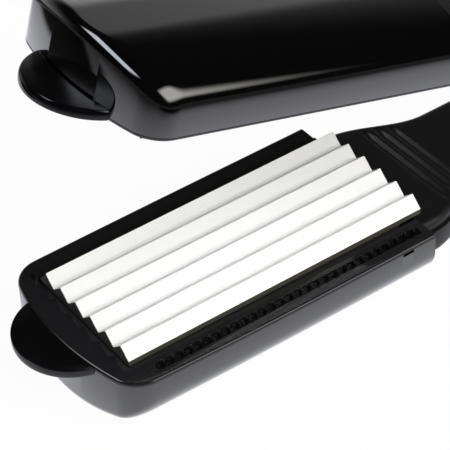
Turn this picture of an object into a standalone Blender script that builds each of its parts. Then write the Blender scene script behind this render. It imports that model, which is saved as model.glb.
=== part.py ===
"""Hair crimper: two hinged arms, each with a long jaw that carries a zigzag plate.

Sizes are in metres.  The long side runs along X, the tip points to -X, the hinge lies at +X,
and Z is up.  The lower arm lies on the ground.  The upper arm stands open on its hinge pin.

Both jaws use the same shapes.  Each shape is made in the jaw's own frame: x = 0 at the front
end of the crimp plate, y = 0 on the centre line, z = 0 on the rim, +z towards the other jaw.
The upper half is the lower half turned over about the X axis.
"""

import math

import bmesh
import bpy
from mathutils import Matrix, Vector

# ---------------------------------------------------------------- driving dimensions
GAP = 0.0003                    # clearance between pieces that touch
OPEN_ANGLE = math.radians(16.2)

PLATE_LENGTH = 0.090
CREST_COUNT = 6
CREST_PITCH = 0.0065
CREST_DEPTH = 0.0029
CREST_HEIGHT = 0.0050           # crest tops above the rim
PLATE_BASE = 0.0015             # metal under the valleys
PLATE_GAP = 0.00045             # between the closed plates, measured upright

PLATE_FLANGE = 0.0007           # thickness of the flange beside the outermost tooth
CREST_TRIM = 0.0010             # taken off the crest that would end on the plate's edge

RIM_WIDTH = 0.0079              # insert frame beside the opening
JAW_FRONT = -0.00815
JAW_REAR = 0.088
JAW_DEPTH = 0.0167
JAW_CORNER = 0.0084
JAW_WALL = 0.0016
FRONT_BOW = 0.082               # plan radius of the front wall
SIDE_BOW = 0.00105              # each side draws in by this much at the front end
SIDE_BOW_START = 0.0627         # the sides run straight behind this place
CROWN_RADIUS = 0.080            # cross radius of the outer faces
SIDE_FILLET = 0.006
FRONT_FILLET = 0.0030
FOOT_FLAT = 0.0003              # cut off the crown, so that the jaw lies on a flat
LIP_HEIGHT = 0.0009             # insert frame's visible lip, also the radius of its edge
SKIRT_DEPTH = 0.0045

OPENING_CLEARANCE = 0.0004      # round the crimp plate
REAR_SHELF_DROP = 0.0030        # frame behind the carrier, below the plate's underside
RIB_WIDTH = 0.0015              # low rib along the far side of the plate
RIB_HEIGHT = 0.0008
RIB_FRONT = -0.0012
GUTTER_WIDTH = 0.0009           # groove behind the rib
GUTTER_DEPTH = 0.0008
SLOT_HALF_WIDTH = 0.0012        # slot in the near side of the frame that holds the comb strip
SLOT_DEPTH = 0.0020
SLOT_FRONT = 0.0050
SLOT_END = 0.0020               # the slot stops this far from the jaw's rear end
PIN_START = 0.0019              # first pin behind the slot's front end
PIN_PITCH = 0.00275
PIN_OFFSET = 0.0038             # from the edge of the plate's opening to the row of pins
PIN_RADIUS = 0.00055
PIN_TOP = 0.0016                # above the rim
COMB_SINK = 0.0001              # comb strip's face below the frame's face
NOTCH_CENTRE = 0.0792
NOTCH_LENGTH = 0.0034
NOTCH_HEIGHT = 0.0012

TAB_RADIUS = 0.01517
TAB_CENTRE = -0.00313
TAB_THICKNESS = 0.0025
TAB_DROP = 0.0002               # tab face below the rim
TAB_NECK_HALF_WIDTH = 0.009
TAB_TONGUE = 0.0030             # length of the neck inside the shell's wall

ARM_STEP = 0.0045               # the arm starts narrower than the jaw by this much each side
ARM_HALF_WIDTH = 0.0150
ARM_WALL = 0.0020
ARM_SHOULDER = (JAW_REAR + 0.004, JAW_REAR + 0.030)     # the arm narrows between these
SHOULDER_STEPS = 6
ARM_SLIM_END = 0.140            # the arm reaches its middle depth here
ARM_FRONT_FILLET = 0.0032
ARM_FILLET_END = 0.125
RIM_BLEND = (0.130, 0.190)      # the rim and the inner cover rise between these
FOOT_BLEND = 0.175              # the arm starts to deepen again here
BODY_STATIONS = (0.130, 0.150, 0.175, 0.190, 0.202)
ARM_TONGUE = 0.006              # length that slides into the jaw shell
ARM_FRONT_DEPTH = 0.0156
ARM_MID_DEPTH = 0.0135
ARM_REAR_DEPTH = 0.0167
ARM_RIM_FRONT = -0.0042
ARM_RIM_REAR = -0.0010
LOWER_ARM_END = 0.2430
UPPER_ARM_END = 0.2100
FOOT_START = 0.212
LOWER_REAR_ROUND = 0.009
UPPER_REAR_ROUND = 0.007
LOWER_REAR_DRAW = 0.42          # how far the arm's end draws in, as shares of its half width
UPPER_REAR_DRAW = 0.327
REAR_LIFT = 0.35                # how far the arm's end rises, as a share of its rounding
FILLET_SHARE = 0.5              # radius along the arm's outer edges, as a share of its half width
TONGUE_SIDE_PLAY = 0.0033       # tongue's sides from the inside of the jaw shell
TONGUE_FLOOR_PLAY = 0.0011

COVER_INSET = 0.0009
COVER_FRONT = JAW_REAR + GAP
COVER_TOP_FRONT = -0.0010
COVER_TOP_REAR = 0.0016
COVER_WALL = 0.0016
COVER_FILLET = 0.0022
GROOVE_PLACES = (0.1010, 0.1043, 0.1077)
GROOVE_RADIUS = 0.0012
GROOVE_SINK = 0.0004            # groove centre above the cover's top

HINGE_X = 0.2195
HINGE_Z = 0.0046
BARREL_RADIUS = 0.0064
PIN_HOLE_RADIUS = 0.0023
HINGE_PIN_RADIUS = 0.0020
KNUCKLE_THICKNESS = 0.0043
KNUCKLE_PLAY = 0.0004           # between a knuckle and its ear
KNUCKLE_ROOT = (-0.0115, -0.0030)   # heights where the knuckles leave the arm's end wall
EAR_SETBACK = 0.0004            # ear's outer face inside the arm's side wall
EAR_THICKNESS = 0.0051
EAR_LIFT = 0.0042               # ear's foot above the arm's floor, clear of its round corner
CAP_RADIUS = 0.0042
CAP_THICKNESS = 0.0012
SPRING_RADIUS = 0.0036          # middle of the wire
SPRING_WIRE = 0.0005
SPRING_TURNS = 4.5
SPRING_PLAY = 0.0012            # between the spring's end and a knuckle

SCREW_HEAD_RADIUS = 0.0026
SCREW_HEAD_HEIGHT = 0.0016
SCREW_SHANK_RADIUS = 0.0012
SCREW_GRIP = 0.0050             # thread length in a boss
BOSS_RADIUS = 0.0030
CARRIER_SCREW_PLACES = (0.0056, 0.0776)
COVER_SCREWS = (0.136, 0.188)

HEATER_START = 0.0095
CUTOUT_RADIUS = 0.0035          # thermal cut-out, behind the heater
HEATER_HALF_WIDTH = 0.0105
HEATER_THICKNESS = 0.0026
HEATER_SPRING_PLACES = (0.027, 0.056)
CARRIER_WALL = 0.0018
CARRIER_FLOOR = 0.0014
CARRIER_DEPTH = 0.0070
CARRIER_END = 0.083

LEAD_START = 0.092
LEAD_END = 0.200
LEAD_SIDE = 0.0065
LEAD_SWAY = 0.0010
LEAD_STEPS = 16

SWITCH_X = 0.150
SWITCH_TRAVEL = 0.0040
SWITCH_LENGTH = 0.011
SWITCH_HALF_WIDTH = 0.0036
SWITCH_PROUD = 0.0016
SWITCH_STEM = (0.0055, 0.0014)  # length and half width
LAMP_X = 0.168
LAMP_RADIUS = 0.0016
BOARD_LENGTH = 0.046
BOARD_THICKNESS = 0.0016

GLAND_RADIUS = 0.0055
GLAND_BORE = 0.0031
GLAND_NECK = 0.0042
GLAND_REACH = 0.0064
REAR_COVER_DRAW = 0.0052        # the rear cover draws in by this much at its end
GLAND_HEIGHT = -0.0072          # bore's centre in the jaw's frame

# ---------------------------------------------------------------- worked out
PLATE_HALF_WIDTH = CREST_COUNT * CREST_PITCH / 2
MATING_Z = CREST_HEIGHT - (CREST_DEPTH - PLATE_GAP) / 2
PLATE_UNDERSIDE = CREST_HEIGHT - CREST_DEPTH - PLATE_BASE
OPENING_HALF_WIDTH = PLATE_HALF_WIDTH + OPENING_CLEARANCE
CUTOUT_X = CARRIER_END - CARRIER_WALL - GAP - CUTOUT_RADIUS
HEATER_LENGTH = CUTOUT_X - CUTOUT_RADIUS - GAP - HEATER_START
JAW_HALF_WIDTH = OPENING_HALF_WIDTH + RIM_WIDTH
PIN_LINE = OPENING_HALF_WIDTH + PIN_OFFSET
PIN_COUNT = 1 + int((JAW_REAR - SLOT_END - SLOT_FRONT - 2 * PIN_START) / PIN_PITCH)
ARM_FRONT_HALF_WIDTH = JAW_HALF_WIDTH - ARM_STEP
EAR_OUTER = ARM_HALF_WIDTH - EAR_SETBACK
EAR_INNER = EAR_OUTER - EAR_THICKNESS
KNUCKLE_OUTER = EAR_INNER - KNUCKLE_PLAY
KNUCKLE_INNER = KNUCKLE_OUTER - KNUCKLE_THICKNESS
SPRING_HALF_LENGTH = KNUCKLE_INNER - SPRING_PLAY
HOLE_REACH = 2.0 * ARM_HALF_WIDTH
SHELL_RIM = -LIP_HEIGHT - GAP
FOOT_Z = -(JAW_DEPTH - FOOT_FLAT)
FRONT_TIP = TAB_CENTRE - TAB_RADIUS
REAR_TIP = LOWER_ARM_END + GLAND_REACH
MIDDLE_X = (FRONT_TIP + REAR_TIP) / 2

for old_object in list(bpy.data.objects):
    bpy.data.objects.remove(old_object, do_unlink=True)


# ---------------------------------------------------------------- materials and objects
def make_material(name, colour, roughness, metallic=0.0):
    """Return one Principled material."""
    material = bpy.data.materials.new(name)
    material.use_nodes = True
    shader = material.node_tree.nodes["Principled BSDF"]
    shader.inputs["Base Color"].default_value = (*colour, 1.0)
    shader.inputs["Roughness"].default_value = roughness
    shader.inputs["Metallic"].default_value = metallic
    return material


GLOSS_BLACK = (0.010, 0.010, 0.011)
SATIN_BLACK = (0.014, 0.014, 0.015)
MATT_BLACK = (0.020, 0.020, 0.021)
WHITE = (0.90, 0.90, 0.89)
STEEL = (0.60, 0.60, 0.62)


def make_object(name, body, parent, colour, roughness, metallic=0.0):
    """Turn a bmesh into a named object with its own material."""
    bmesh.ops.remove_doubles(body, verts=body.verts, dist=1e-6)
    bmesh.ops.recalc_face_normals(body, faces=body.faces)
    mesh = bpy.data.meshes.new(name)
    body.to_mesh(mesh)
    body.free()
    item = bpy.data.objects.new(name, mesh)
    bpy.context.scene.collection.objects.link(item)
    item.parent = parent
    mesh.materials.append(make_material(name + "_finish", colour, roughness, metallic))
    mesh.shade_smooth()
    mesh.set_sharp_from_angle(angle=math.radians(35))
    return item


def make_helper(name, body, parent):
    """Make an object that only cuts or adds to others."""
    item = make_object(name, body, parent, STEEL, 0.5)
    item.hide_render = True
    item.display_type = "WIRE"
    return item


def combine(item, helper, operation):
    """Add one exact Boolean step to an object."""
    step = item.modifiers.new(helper.name, "BOOLEAN")
    step.object = helper
    step.operation = operation
    step.solver = "EXACT"


def make_empty(name, matrix, parent=None):
    """Return an empty that carries one half."""
    empty = bpy.data.objects.new(name, None)
    bpy.context.scene.collection.objects.link(empty)
    empty.parent = parent
    empty.matrix_local = matrix
    return empty


# ---------------------------------------------------------------- basic bodies
def ease(value, start, end, low, high):
    """Blend smoothly from low to high while value goes from start to end."""
    share = min(max((value - start) / (end - start), 0.0), 1.0)
    share = share * share * (3.0 - 2.0 * share)
    return low + (high - low) * share


def add_stack(body, levels):
    """Join closed outlines, given bottom to top as (points, z), and close both ends."""
    rings = []
    for points, height in levels:
        rings.append([body.verts.new((x, y, height)) for x, y in points])
    count = len(rings[0])
    for low, high in zip(rings, rings[1:]):
        for i in range(count):
            j = (i + 1) % count
            body.faces.new((low[i], low[j], high[j], high[i]))
    body.faces.new(list(reversed(rings[0])))
    body.faces.new(rings[-1])


def add_box(body, low, high):
    """Add a box from its lowest to its highest corner."""
    points = [(low[0], low[1]), (high[0], low[1]), (high[0], high[1]), (low[0], high[1])]
    add_stack(body, [(points, low[2]), (points, high[2])])


def circle(x, y, radius, count):
    """Return points round a circle."""
    turn = 2.0 * math.pi / count
    return [(x + radius * math.cos(turn * i), y + radius * math.sin(turn * i)) for i in range(count)]


def add_turned(body, x, y, profile, count=16):
    """Add a round solid about an upright line, from (radius, z) pairs given bottom to top."""
    add_stack(body, [(circle(x, y, radius, count), height) for radius, height in profile])


def add_profile_across(body, points, low, high):
    """Pull an (x, z) outline along Y from low to high."""
    near = [body.verts.new((x, low, z)) for x, z in points]
    far = [body.verts.new((x, high, z)) for x, z in points]
    count = len(points)
    for i in range(count):
        j = (i + 1) % count
        body.faces.new((near[i], near[j], far[j], far[i]))
    body.faces.new(list(reversed(near)))
    body.faces.new(far)


def add_profile_along(body, points, low, high):
    """Pull a (y, z) outline along X from low to high."""
    front = [body.verts.new((low, y, z)) for y, z in points]
    rear = [body.verts.new((high, y, z)) for y, z in points]
    count = len(points)
    for i in range(count):
        j = (i + 1) % count
        body.faces.new((front[i], front[j], rear[j], rear[i]))
    body.faces.new(list(reversed(front)))
    body.faces.new(rear)


def add_skin(body, outer, inner, cap_first=False, cap_last=False, fold_last=False):
    """Fill the space between two grids of points, which have the same rows and columns.

    A capped end is closed across.  A folded end meets itself on the centre line.
    """
    outer = [[body.verts.new(point) for point in row] for row in outer]
    inner = [[body.verts.new(point) for point in row] for row in inner]
    rows, columns = len(outer), len(outer[0])
    for i in range(rows - 1):
        for j in range(columns - 1):
            for grid in (outer, inner):
                body.faces.new((grid[i][j], grid[i + 1][j], grid[i + 1][j + 1], grid[i][j + 1]))
        for j in (0, columns - 1):
            body.faces.new((outer[i][j], outer[i + 1][j], inner[i + 1][j], inner[i][j]))
    for i, capped, folded in ((0, cap_first, False), (rows - 1, cap_last, fold_last)):
        if capped:
            body.faces.new(outer[i])
            body.faces.new(inner[i])
            body.faces.new((outer[i][0], outer[i][-1], inner[i][-1], inner[i][0]))
        elif not folded:
            for j in range(columns - 1):
                body.faces.new((outer[i][j], outer[i][j + 1], inner[i][j + 1], inner[i][j]))


# ---------------------------------------------------------------- jaw outline
def side_bow(x):
    """Return how far the jaw's sides draw in at x."""
    reach = max(SIDE_BOW_START - x, 0.0) / (SIDE_BOW_START - JAW_FRONT)
    return SIDE_BOW * reach * reach


def jaw_edge(inset, side_steps=4, corner_steps=6, front_steps=4):
    """Return the jaw's plan edge from its near rear end round the front to the far rear end.

    Each point is (x, y, turn), where turn is 0 on the side walls and 1 on the front wall.
    """
    half = JAW_HALF_WIDTH - inset
    front = JAW_FRONT + inset
    corner = JAW_CORNER - inset
    bow = FRONT_BOW - inset
    bow_x = front + bow
    corner_y = half - corner
    corner_x = bow_x - math.sqrt((bow - corner) ** 2 - corner_y ** 2)
    bow_angle = math.asin(corner_y / (bow - corner))
    points = []
    for i in range(side_steps):
        share = i / side_steps
        points.append((JAW_REAR + (corner_x - JAW_REAR) * share, -half, 0.0))
    for i in range(corner_steps):
        share = i / corner_steps
        angle = math.pi / 2 + (bow_angle - math.pi / 2) * share
        points.append((corner_x - corner * math.cos(angle),
                       -corner_y - corner * math.sin(angle), share))
    for i in range(front_steps + 1):
        angle = bow_angle * (1.0 - 2.0 * i / front_steps)
        points.append((bow_x - bow * math.cos(angle), -bow * math.sin(angle), 1.0))
    points = [(x, y * (1.0 - side_bow(x) / half), turn) for x, y, turn in points]
    mirrored = [(x, -y, turn) for x, y, turn in points[:side_steps + corner_steps]]
    return points + mirrored[::-1]


def jaw_outline(inset, rear=JAW_REAR):
    """Return the closed plan outline of the jaw, drawn in by inset."""
    points = [(x, y) for x, y, turn in jaw_edge(inset)]
    points[0] = (rear, points[0][1])
    points[-1] = (rear, points[-1][1])
    return points[::-1]


def jaw_grid(inset, rim):
    """Return the jaw shell's surface, row by row from the rim to the centre line."""
    half = JAW_HALF_WIDTH - inset
    depth = JAW_DEPTH - inset
    edge = jaw_edge(inset)
    spine = JAW_FRONT + JAW_HALF_WIDTH
    fillet_steps = 6
    crown_shares = (0.25, 0.5, 0.66, 1.0)
    grid = [[(x, y, rim) for x, y, turn in edge]]
    steps = [("fillet", i / fillet_steps) for i in range(fillet_steps + 1)]
    steps += [("crown", share) for share in crown_shares]
    for kind, share in steps:
        row = []
        for x, y, turn in edge:
            radius = ease(turn, 0.0, 1.0, SIDE_FILLET, FRONT_FILLET) - inset
            target_x = max(x, spine)
            if kind == "fillet":
                angle = share * math.pi / 2
                travel = radius * (1.0 - math.cos(angle)) / half
                lift = radius * (1.0 - math.sin(angle))
            else:
                travel = radius / half + share * (1.0 - radius / half)
                lift = 0.0
            px = x + (target_x - x) * travel
            py = y * (1.0 - travel)
            pz = -(depth - py * py / (2.0 * CROWN_RADIUS)) + lift
            row.append((px, py, max(pz, FOOT_Z + inset)))
        grid.append(row)
    return grid


def slot_outline(inset):
    """Return the comb slot's outline: a long slot with a round front end."""
    half = SLOT_HALF_WIDTH - inset
    end = JAW_REAR - SLOT_END - inset
    round_x = SLOT_FRONT + SLOT_HALF_WIDTH
    outline = [(end, -PIN_LINE - half), (end, -PIN_LINE + half)]
    steps = 6
    for i in range(steps + 1):
        angle = math.pi / 2 + math.pi * i / steps
        outline.append((round_x + half * math.cos(angle), -PIN_LINE + half * math.sin(angle)))
    return outline


# ---------------------------------------------------------------- jaw pieces
def make_jaw_shell(name, half):
    """Glossy outer shell of the jaw: walled tray, open at the rear, with screw bosses."""
    body = bmesh.new()
    add_skin(body, jaw_grid(0.0, SHELL_RIM), jaw_grid(JAW_WALL, SHELL_RIM), fold_last=True)
    shell = make_object(name, body, half, GLOSS_BLACK, 0.08)

    bosses = bmesh.new()
    boss_top = -CARRIER_DEPTH - GAP
    for x in CARRIER_SCREW_PLACES:
        add_turned(bosses, x, 0.0, ((BOSS_RADIUS, -JAW_DEPTH + JAW_WALL / 2), (BOSS_RADIUS, boss_top)), 12)
    combine(shell, make_helper(name + "_bosses", bosses, half), "UNION")

    holes = bmesh.new()
    bore = SCREW_SHANK_RADIUS + GAP
    for x in CARRIER_SCREW_PLACES:
        add_turned(holes, x, 0.0, ((bore, boss_top - SCREW_GRIP - GAP), (bore, 0.0)), 8)
    window_low = -TAB_DROP - TAB_THICKNESS - GAP
    add_box(holes, (JAW_FRONT - 0.001, -TAB_NECK_HALF_WIDTH - GAP, window_low),
            (JAW_FRONT + JAW_WALL + 0.002, TAB_NECK_HALF_WIDTH + GAP, 0.001))
    add_box(holes, (NOTCH_CENTRE - NOTCH_LENGTH / 2, -JAW_HALF_WIDTH - 0.001, SHELL_RIM - NOTCH_HEIGHT),
            (NOTCH_CENTRE + NOTCH_LENGTH / 2, -JAW_HALF_WIDTH + JAW_WALL / 2, 0.001))
    combine(shell, make_helper(name + "_holes", holes, half), "DIFFERENCE")
    return shell


def make_insert_frame(name, half):
    """Inner frame of the jaw: flat face with a round lip, skirt, rib with a groove, comb slot."""
    body = bmesh.new()
    levels = []
    steps = 3
    for i in range(steps + 1):
        angle = math.pi / 2 * i / steps
        inset = LIP_HEIGHT * (1.0 - math.cos(angle))
        levels.append((jaw_outline(inset), -LIP_HEIGHT * (1.0 - math.sin(angle))))
    add_stack(body, levels)
    frame = make_object(name, body, half, SATIN_BLACK, 0.1)

    added = bmesh.new()
    skirt = jaw_outline(JAW_WALL + 1.3 * GAP, JAW_REAR - 0.0005)
    add_stack(added, [(skirt, -SKIRT_DEPTH), (skirt, -LIP_HEIGHT / 2)])
    combine(frame, make_helper(name + "_skirt", added, half), "UNION")
    rib = bmesh.new()
    rib_outer = OPENING_HALF_WIDTH + RIB_WIDTH
    add_box(rib, (RIB_FRONT, OPENING_HALF_WIDTH - 0.001, -0.002), (JAW_REAR - 0.0002, rib_outer, RIB_HEIGHT))
    combine(frame, make_helper(name + "_rib", rib, half), "UNION")

    cuts = bmesh.new()
    opening_end = CARRIER_END + 2 * GAP
    shelf = PLATE_UNDERSIDE - REAR_SHELF_DROP
    outline = [(-OPENING_CLEARANCE, -0.02), (opening_end, -0.02), (opening_end, shelf),
               (JAW_REAR + 0.001, shelf), (JAW_REAR + 0.001, 0.01), (-OPENING_CLEARANCE, 0.01)]
    add_profile_across(cuts, outline, -OPENING_HALF_WIDTH, OPENING_HALF_WIDTH)
    add_box(cuts, (JAW_FRONT, -TAB_NECK_HALF_WIDTH - GAP, -SKIRT_DEPTH - 0.001),
            (JAW_FRONT + JAW_WALL + TAB_TONGUE + GAP, TAB_NECK_HALF_WIDTH + GAP, -LIP_HEIGHT))
    combine(frame, make_helper(name + "_opening", cuts, half), "DIFFERENCE")
    slots = bmesh.new()
    add_stack(slots, [(slot_outline(0.0), -SLOT_DEPTH), (slot_outline(0.0), 0.004)])
    add_box(slots, (RIB_FRONT, rib_outer, -GUTTER_DEPTH),
            (JAW_REAR - SLOT_END, rib_outer + GUTTER_WIDTH, 0.004))
    combine(frame, make_helper(name + "_slots", slots, half), "DIFFERENCE")
    return frame


def make_comb(name, half):
    """Strip of blunt pins that sits in the slot of the insert frame."""
    body = bmesh.new()
    floor = -SLOT_DEPTH + GAP
    add_stack(body, [(slot_outline(GAP), floor), (slot_outline(GAP), -COMB_SINK)])
    comb = make_object(name, body, half, SATIN_BLACK, 0.3)
    pins = bmesh.new()
    for i in range(PIN_COUNT):
        x = SLOT_FRONT + PIN_START + PIN_PITCH * i
        add_turned(pins, x, -PIN_LINE, ((PIN_RADIUS, floor / 2), (PIN_RADIUS, PIN_TOP)), 6)
    combine(comb, make_helper(name + "_pins", pins, half), "UNION")
    return comb


def make_crimp_plate(name, half, shift):
    """Zigzag plate.  A shift of half a pitch gives the plate that nests into the other.

    The teeth end one half pitch before one edge, which leaves a thin flange there.  The flange
    is at the same side of the crimper on both halves.
    """
    body = bmesh.new()
    middle = CREST_HEIGHT - CREST_DEPTH / 2
    flange = PLATE_UNDERSIDE + PLATE_FLANGE
    blunt = 0.0003
    corners = []
    far = -1 if shift else 1
    last = 2 * CREST_COUNT
    for i in range(last):
        y = far * (i * CREST_PITCH / 2 - PLATE_HALF_WIDTH)
        high = (i % 2 == 1) != shift
        z = middle + (CREST_DEPTH / 2 if high else -CREST_DEPTH / 2)
        if i == 0 and high:
            slope = CREST_DEPTH / (CREST_PITCH / 2)
            corners += [(y, flange), (y + far * CREST_TRIM, flange)]
            corners.append((y + far * CREST_TRIM, z - CREST_TRIM * slope))
        elif i == 0 or i == last - 1:
            corners.append((y, z))
        else:
            soften = blunt * CREST_DEPTH / CREST_PITCH * (-1 if high else 1)
            corners.append((y - far * blunt, z + soften))
            corners.append((y + far * blunt, z + soften))
    corners += [(corners[-1][0], flange), (far * PLATE_HALF_WIDTH, flange)]
    start, end = corners[0][0], corners[-1][0]
    outline = [(start, PLATE_UNDERSIDE)] + corners + [(end, PLATE_UNDERSIDE)]
    add_profile_along(body, outline[::-far], 0.0, PLATE_LENGTH)
    return make_object(name, body, half, WHITE, 0.35)


def make_carrier(name, half):
    """Heat insulating tray that holds the plate, the heater and its springs."""
    outer = PLATE_HALF_WIDTH
    top = PLATE_UNDERSIDE - GAP
    body = bmesh.new()
    add_box(body, (0.0, -outer, -CARRIER_DEPTH), (CARRIER_END, outer, top))
    carrier = make_object(name, body, half, (0.60, 0.56, 0.48), 0.6)
    pocket = bmesh.new()
    add_box(pocket, (CARRIER_WALL, -outer + CARRIER_WALL, -CARRIER_DEPTH + CARRIER_FLOOR),
            (CARRIER_END - CARRIER_WALL, outer - CARRIER_WALL, top + 0.001))
    combine(carrier, make_helper(name + "_pocket", pocket, half), "DIFFERENCE")
    through = bmesh.new()
    bore = SCREW_SHANK_RADIUS + GAP
    for x in CARRIER_SCREW_PLACES:
        add_turned(through, x, 0.0, ((bore, -CARRIER_DEPTH - 0.001), (bore, -CARRIER_DEPTH + 0.003)), 8)
    combine(carrier, make_helper(name + "_through", through, half), "DIFFERENCE")
    return carrier


def make_heater(name, half):
    """Flat heating element that lies against the plate's underside."""
    top = PLATE_UNDERSIDE - GAP
    low = top - HEATER_THICKNESS
    edge = 0.0006
    body = bmesh.new()
    wide, narrow = HEATER_HALF_WIDTH, HEATER_HALF_WIDTH - edge
    outline = [(-narrow, low), (narrow, low), (wide, low + edge), (wide, top - edge),
               (narrow, top), (-narrow, top), (-wide, top - edge), (-wide, low + edge)]
    add_profile_along(body, outline, HEATER_START, HEATER_START + HEATER_LENGTH)
    return make_object(name, body, half, (0.55, 0.50, 0.42), 0.5)


def make_heater_springs(name, half):
    """Two bent leaf springs that press the heater against the plate."""
    low = -CARRIER_DEPTH + CARRIER_FLOOR + GAP
    high = PLATE_UNDERSIDE - HEATER_THICKNESS - 2 * GAP
    sheet = 0.0005
    for i, middle in enumerate(HEATER_SPRING_PLACES):
        line = [(middle - 0.010, low), (middle - 0.006, low), (middle - 0.002, high - sheet),
                (middle + 0.002, high - sheet), (middle + 0.006, low), (middle + 0.010, low)]
        outline = line + [(x, z + sheet) for x, z in reversed(line)]
        body = bmesh.new()
        add_profile_across(body, outline, -0.005, 0.005)
        make_object(f"{name}_{i + 1}", body, half, STEEL, 0.35, 1.0)


def make_thermal_cutout(name, half):
    """Round thermal cut-out that rests on the carrier's floor beside the heater's rear end."""
    floor = -CARRIER_DEPTH + CARRIER_FLOOR + GAP
    radius = CUTOUT_RADIUS
    profile = ((radius * 0.9, floor), (radius, floor + 0.0003),
               (radius, floor + 0.0030), (radius * 0.9, floor + 0.0033))
    body = bmesh.new()
    add_turned(body, CUTOUT_X, SCREW_HEAD_RADIUS + radius + 0.002, profile, 16)
    return make_object(name, body, half, STEEL, 0.3, 1.0)


def make_screw(name, half, x, seat, grip):
    """Pan head screw with its head's underside at seat and its shank down to grip."""
    profile = ((SCREW_SHANK_RADIUS, grip), (SCREW_SHANK_RADIUS, seat), (SCREW_HEAD_RADIUS, seat),
               (SCREW_HEAD_RADIUS, seat + SCREW_HEAD_HEIGHT * 0.6),
               (SCREW_HEAD_RADIUS * 0.75, seat + SCREW_HEAD_HEIGHT))
    body = bmesh.new()
    add_turned(body, x, 0.0, profile, 12)
    make_object(name, body, half, STEEL, 0.3, 1.0)


def make_carrier_screws(name, half):
    """Two screws through the carrier's floor into the shell's bosses."""
    seat = -CARRIER_DEPTH + CARRIER_FLOOR + GAP
    for i, x in enumerate(CARRIER_SCREW_PLACES):
        make_screw(f"{name}_{i + 1}", half, x, seat, -CARRIER_DEPTH - GAP - SCREW_GRIP)


def make_cool_tip(name, half):
    """Round thumb tab, with a neck that is held between the shell and the insert frame."""
    top = -TAB_DROP
    low = top - TAB_THICKNESS
    round_off = 0.0009
    count = 40
    body = bmesh.new()
    profile = ((TAB_RADIUS - round_off, low), (TAB_RADIUS - round_off * 0.3, low + round_off * 0.3),
               (TAB_RADIUS, low + round_off), (TAB_RADIUS, top - 0.0003), (TAB_RADIUS - 0.0003, top))
    add_turned(body, TAB_CENTRE, 0.0, profile, count)
    tip = make_object(name, body, half, SATIN_BLACK, 0.45)
    cut = bmesh.new()
    jaw = jaw_outline(-GAP, JAW_REAR)
    add_stack(cut, [(jaw, -0.01), (jaw, 0.01)])
    combine(tip, make_helper(name + "_cut", cut, half), "DIFFERENCE")
    neck = bmesh.new()
    add_box(neck, (JAW_FRONT - 0.0012, -TAB_NECK_HALF_WIDTH, low + 0.0002),
            (JAW_FRONT + JAW_WALL + TAB_TONGUE, TAB_NECK_HALF_WIDTH, SHELL_RIM))
    combine(tip, make_helper(name + "_neck", neck, half), "UNION")
    return tip


# ---------------------------------------------------------------- arm pieces
def arm_half_width(x):
    """Half width of the arm's outer shell at x."""
    width = ease(x, ARM_SHOULDER[0], ARM_SHOULDER[1], ARM_FRONT_HALF_WIDTH, ARM_HALF_WIDTH)
    return width


def arm_depth(x):
    """Depth of the arm's outer face under the rim plane at x."""
    depth = ease(x, ARM_SHOULDER[0], ARM_SLIM_END, ARM_FRONT_DEPTH, ARM_MID_DEPTH)
    return depth + ease(x, FOOT_BLEND, FOOT_START, 0.0, ARM_REAR_DEPTH - ARM_MID_DEPTH)


def arm_rim(x):
    """Height of the arm shell's rim at x."""
    return ease(x, RIM_BLEND[0], RIM_BLEND[1], ARM_RIM_FRONT, ARM_RIM_REAR)


def cover_top(x):
    """Height of the inner cover at x."""
    return ease(x, RIM_BLEND[0], RIM_BLEND[1], COVER_TOP_FRONT, COVER_TOP_REAR)


def arm_fillet(x):
    """Radius between the arm's side wall and its outer face."""
    return ease(x, ARM_SHOULDER[0], ARM_FILLET_END, ARM_FRONT_FILLET, ARM_HALF_WIDTH * FILLET_SHARE)


def arm_section(x, half, rim, depth, fillet, inset, fillet_steps=3):
    """Return one U-shaped section of the arm shell, rim to rim."""
    half -= inset
    radius = max(fillet - inset, 0.0006)
    depth -= inset
    side = [(x, -half, rim)]
    for i in range(fillet_steps + 1):
        angle = math.pi / 2 * i / fillet_steps
        y = half - radius * (1.0 - math.cos(angle))
        z = -(depth - y * y / (2.0 * CROWN_RADIUS)) + radius * (1.0 - math.sin(angle))
        side.append((x, -y, max(z, FOOT_Z + inset)))
    crown = (half - radius) * 0.45
    side.append((x, -crown, max(-(depth - crown * crown / (2.0 * CROWN_RADIUS)), FOOT_Z + inset)))
    middle = [(x, 0.0, max(-depth, FOOT_Z + inset))]
    mirrored = [(x, -y, z) for x, y, z in side]
    return side + middle + mirrored[::-1]


def arm_stations(end):
    """Return the X places of the arm's sections behind the jaw."""
    start, stop = ARM_SHOULDER
    places = [JAW_REAR + GAP]
    places += [start + (stop - start) * i / SHOULDER_STEPS for i in range(SHOULDER_STEPS + 1)]
    places += [x for x in BODY_STATIONS if x > stop] + [FOOT_START]
    return [x for x in places if x < end - UPPER_REAR_ROUND]


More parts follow.
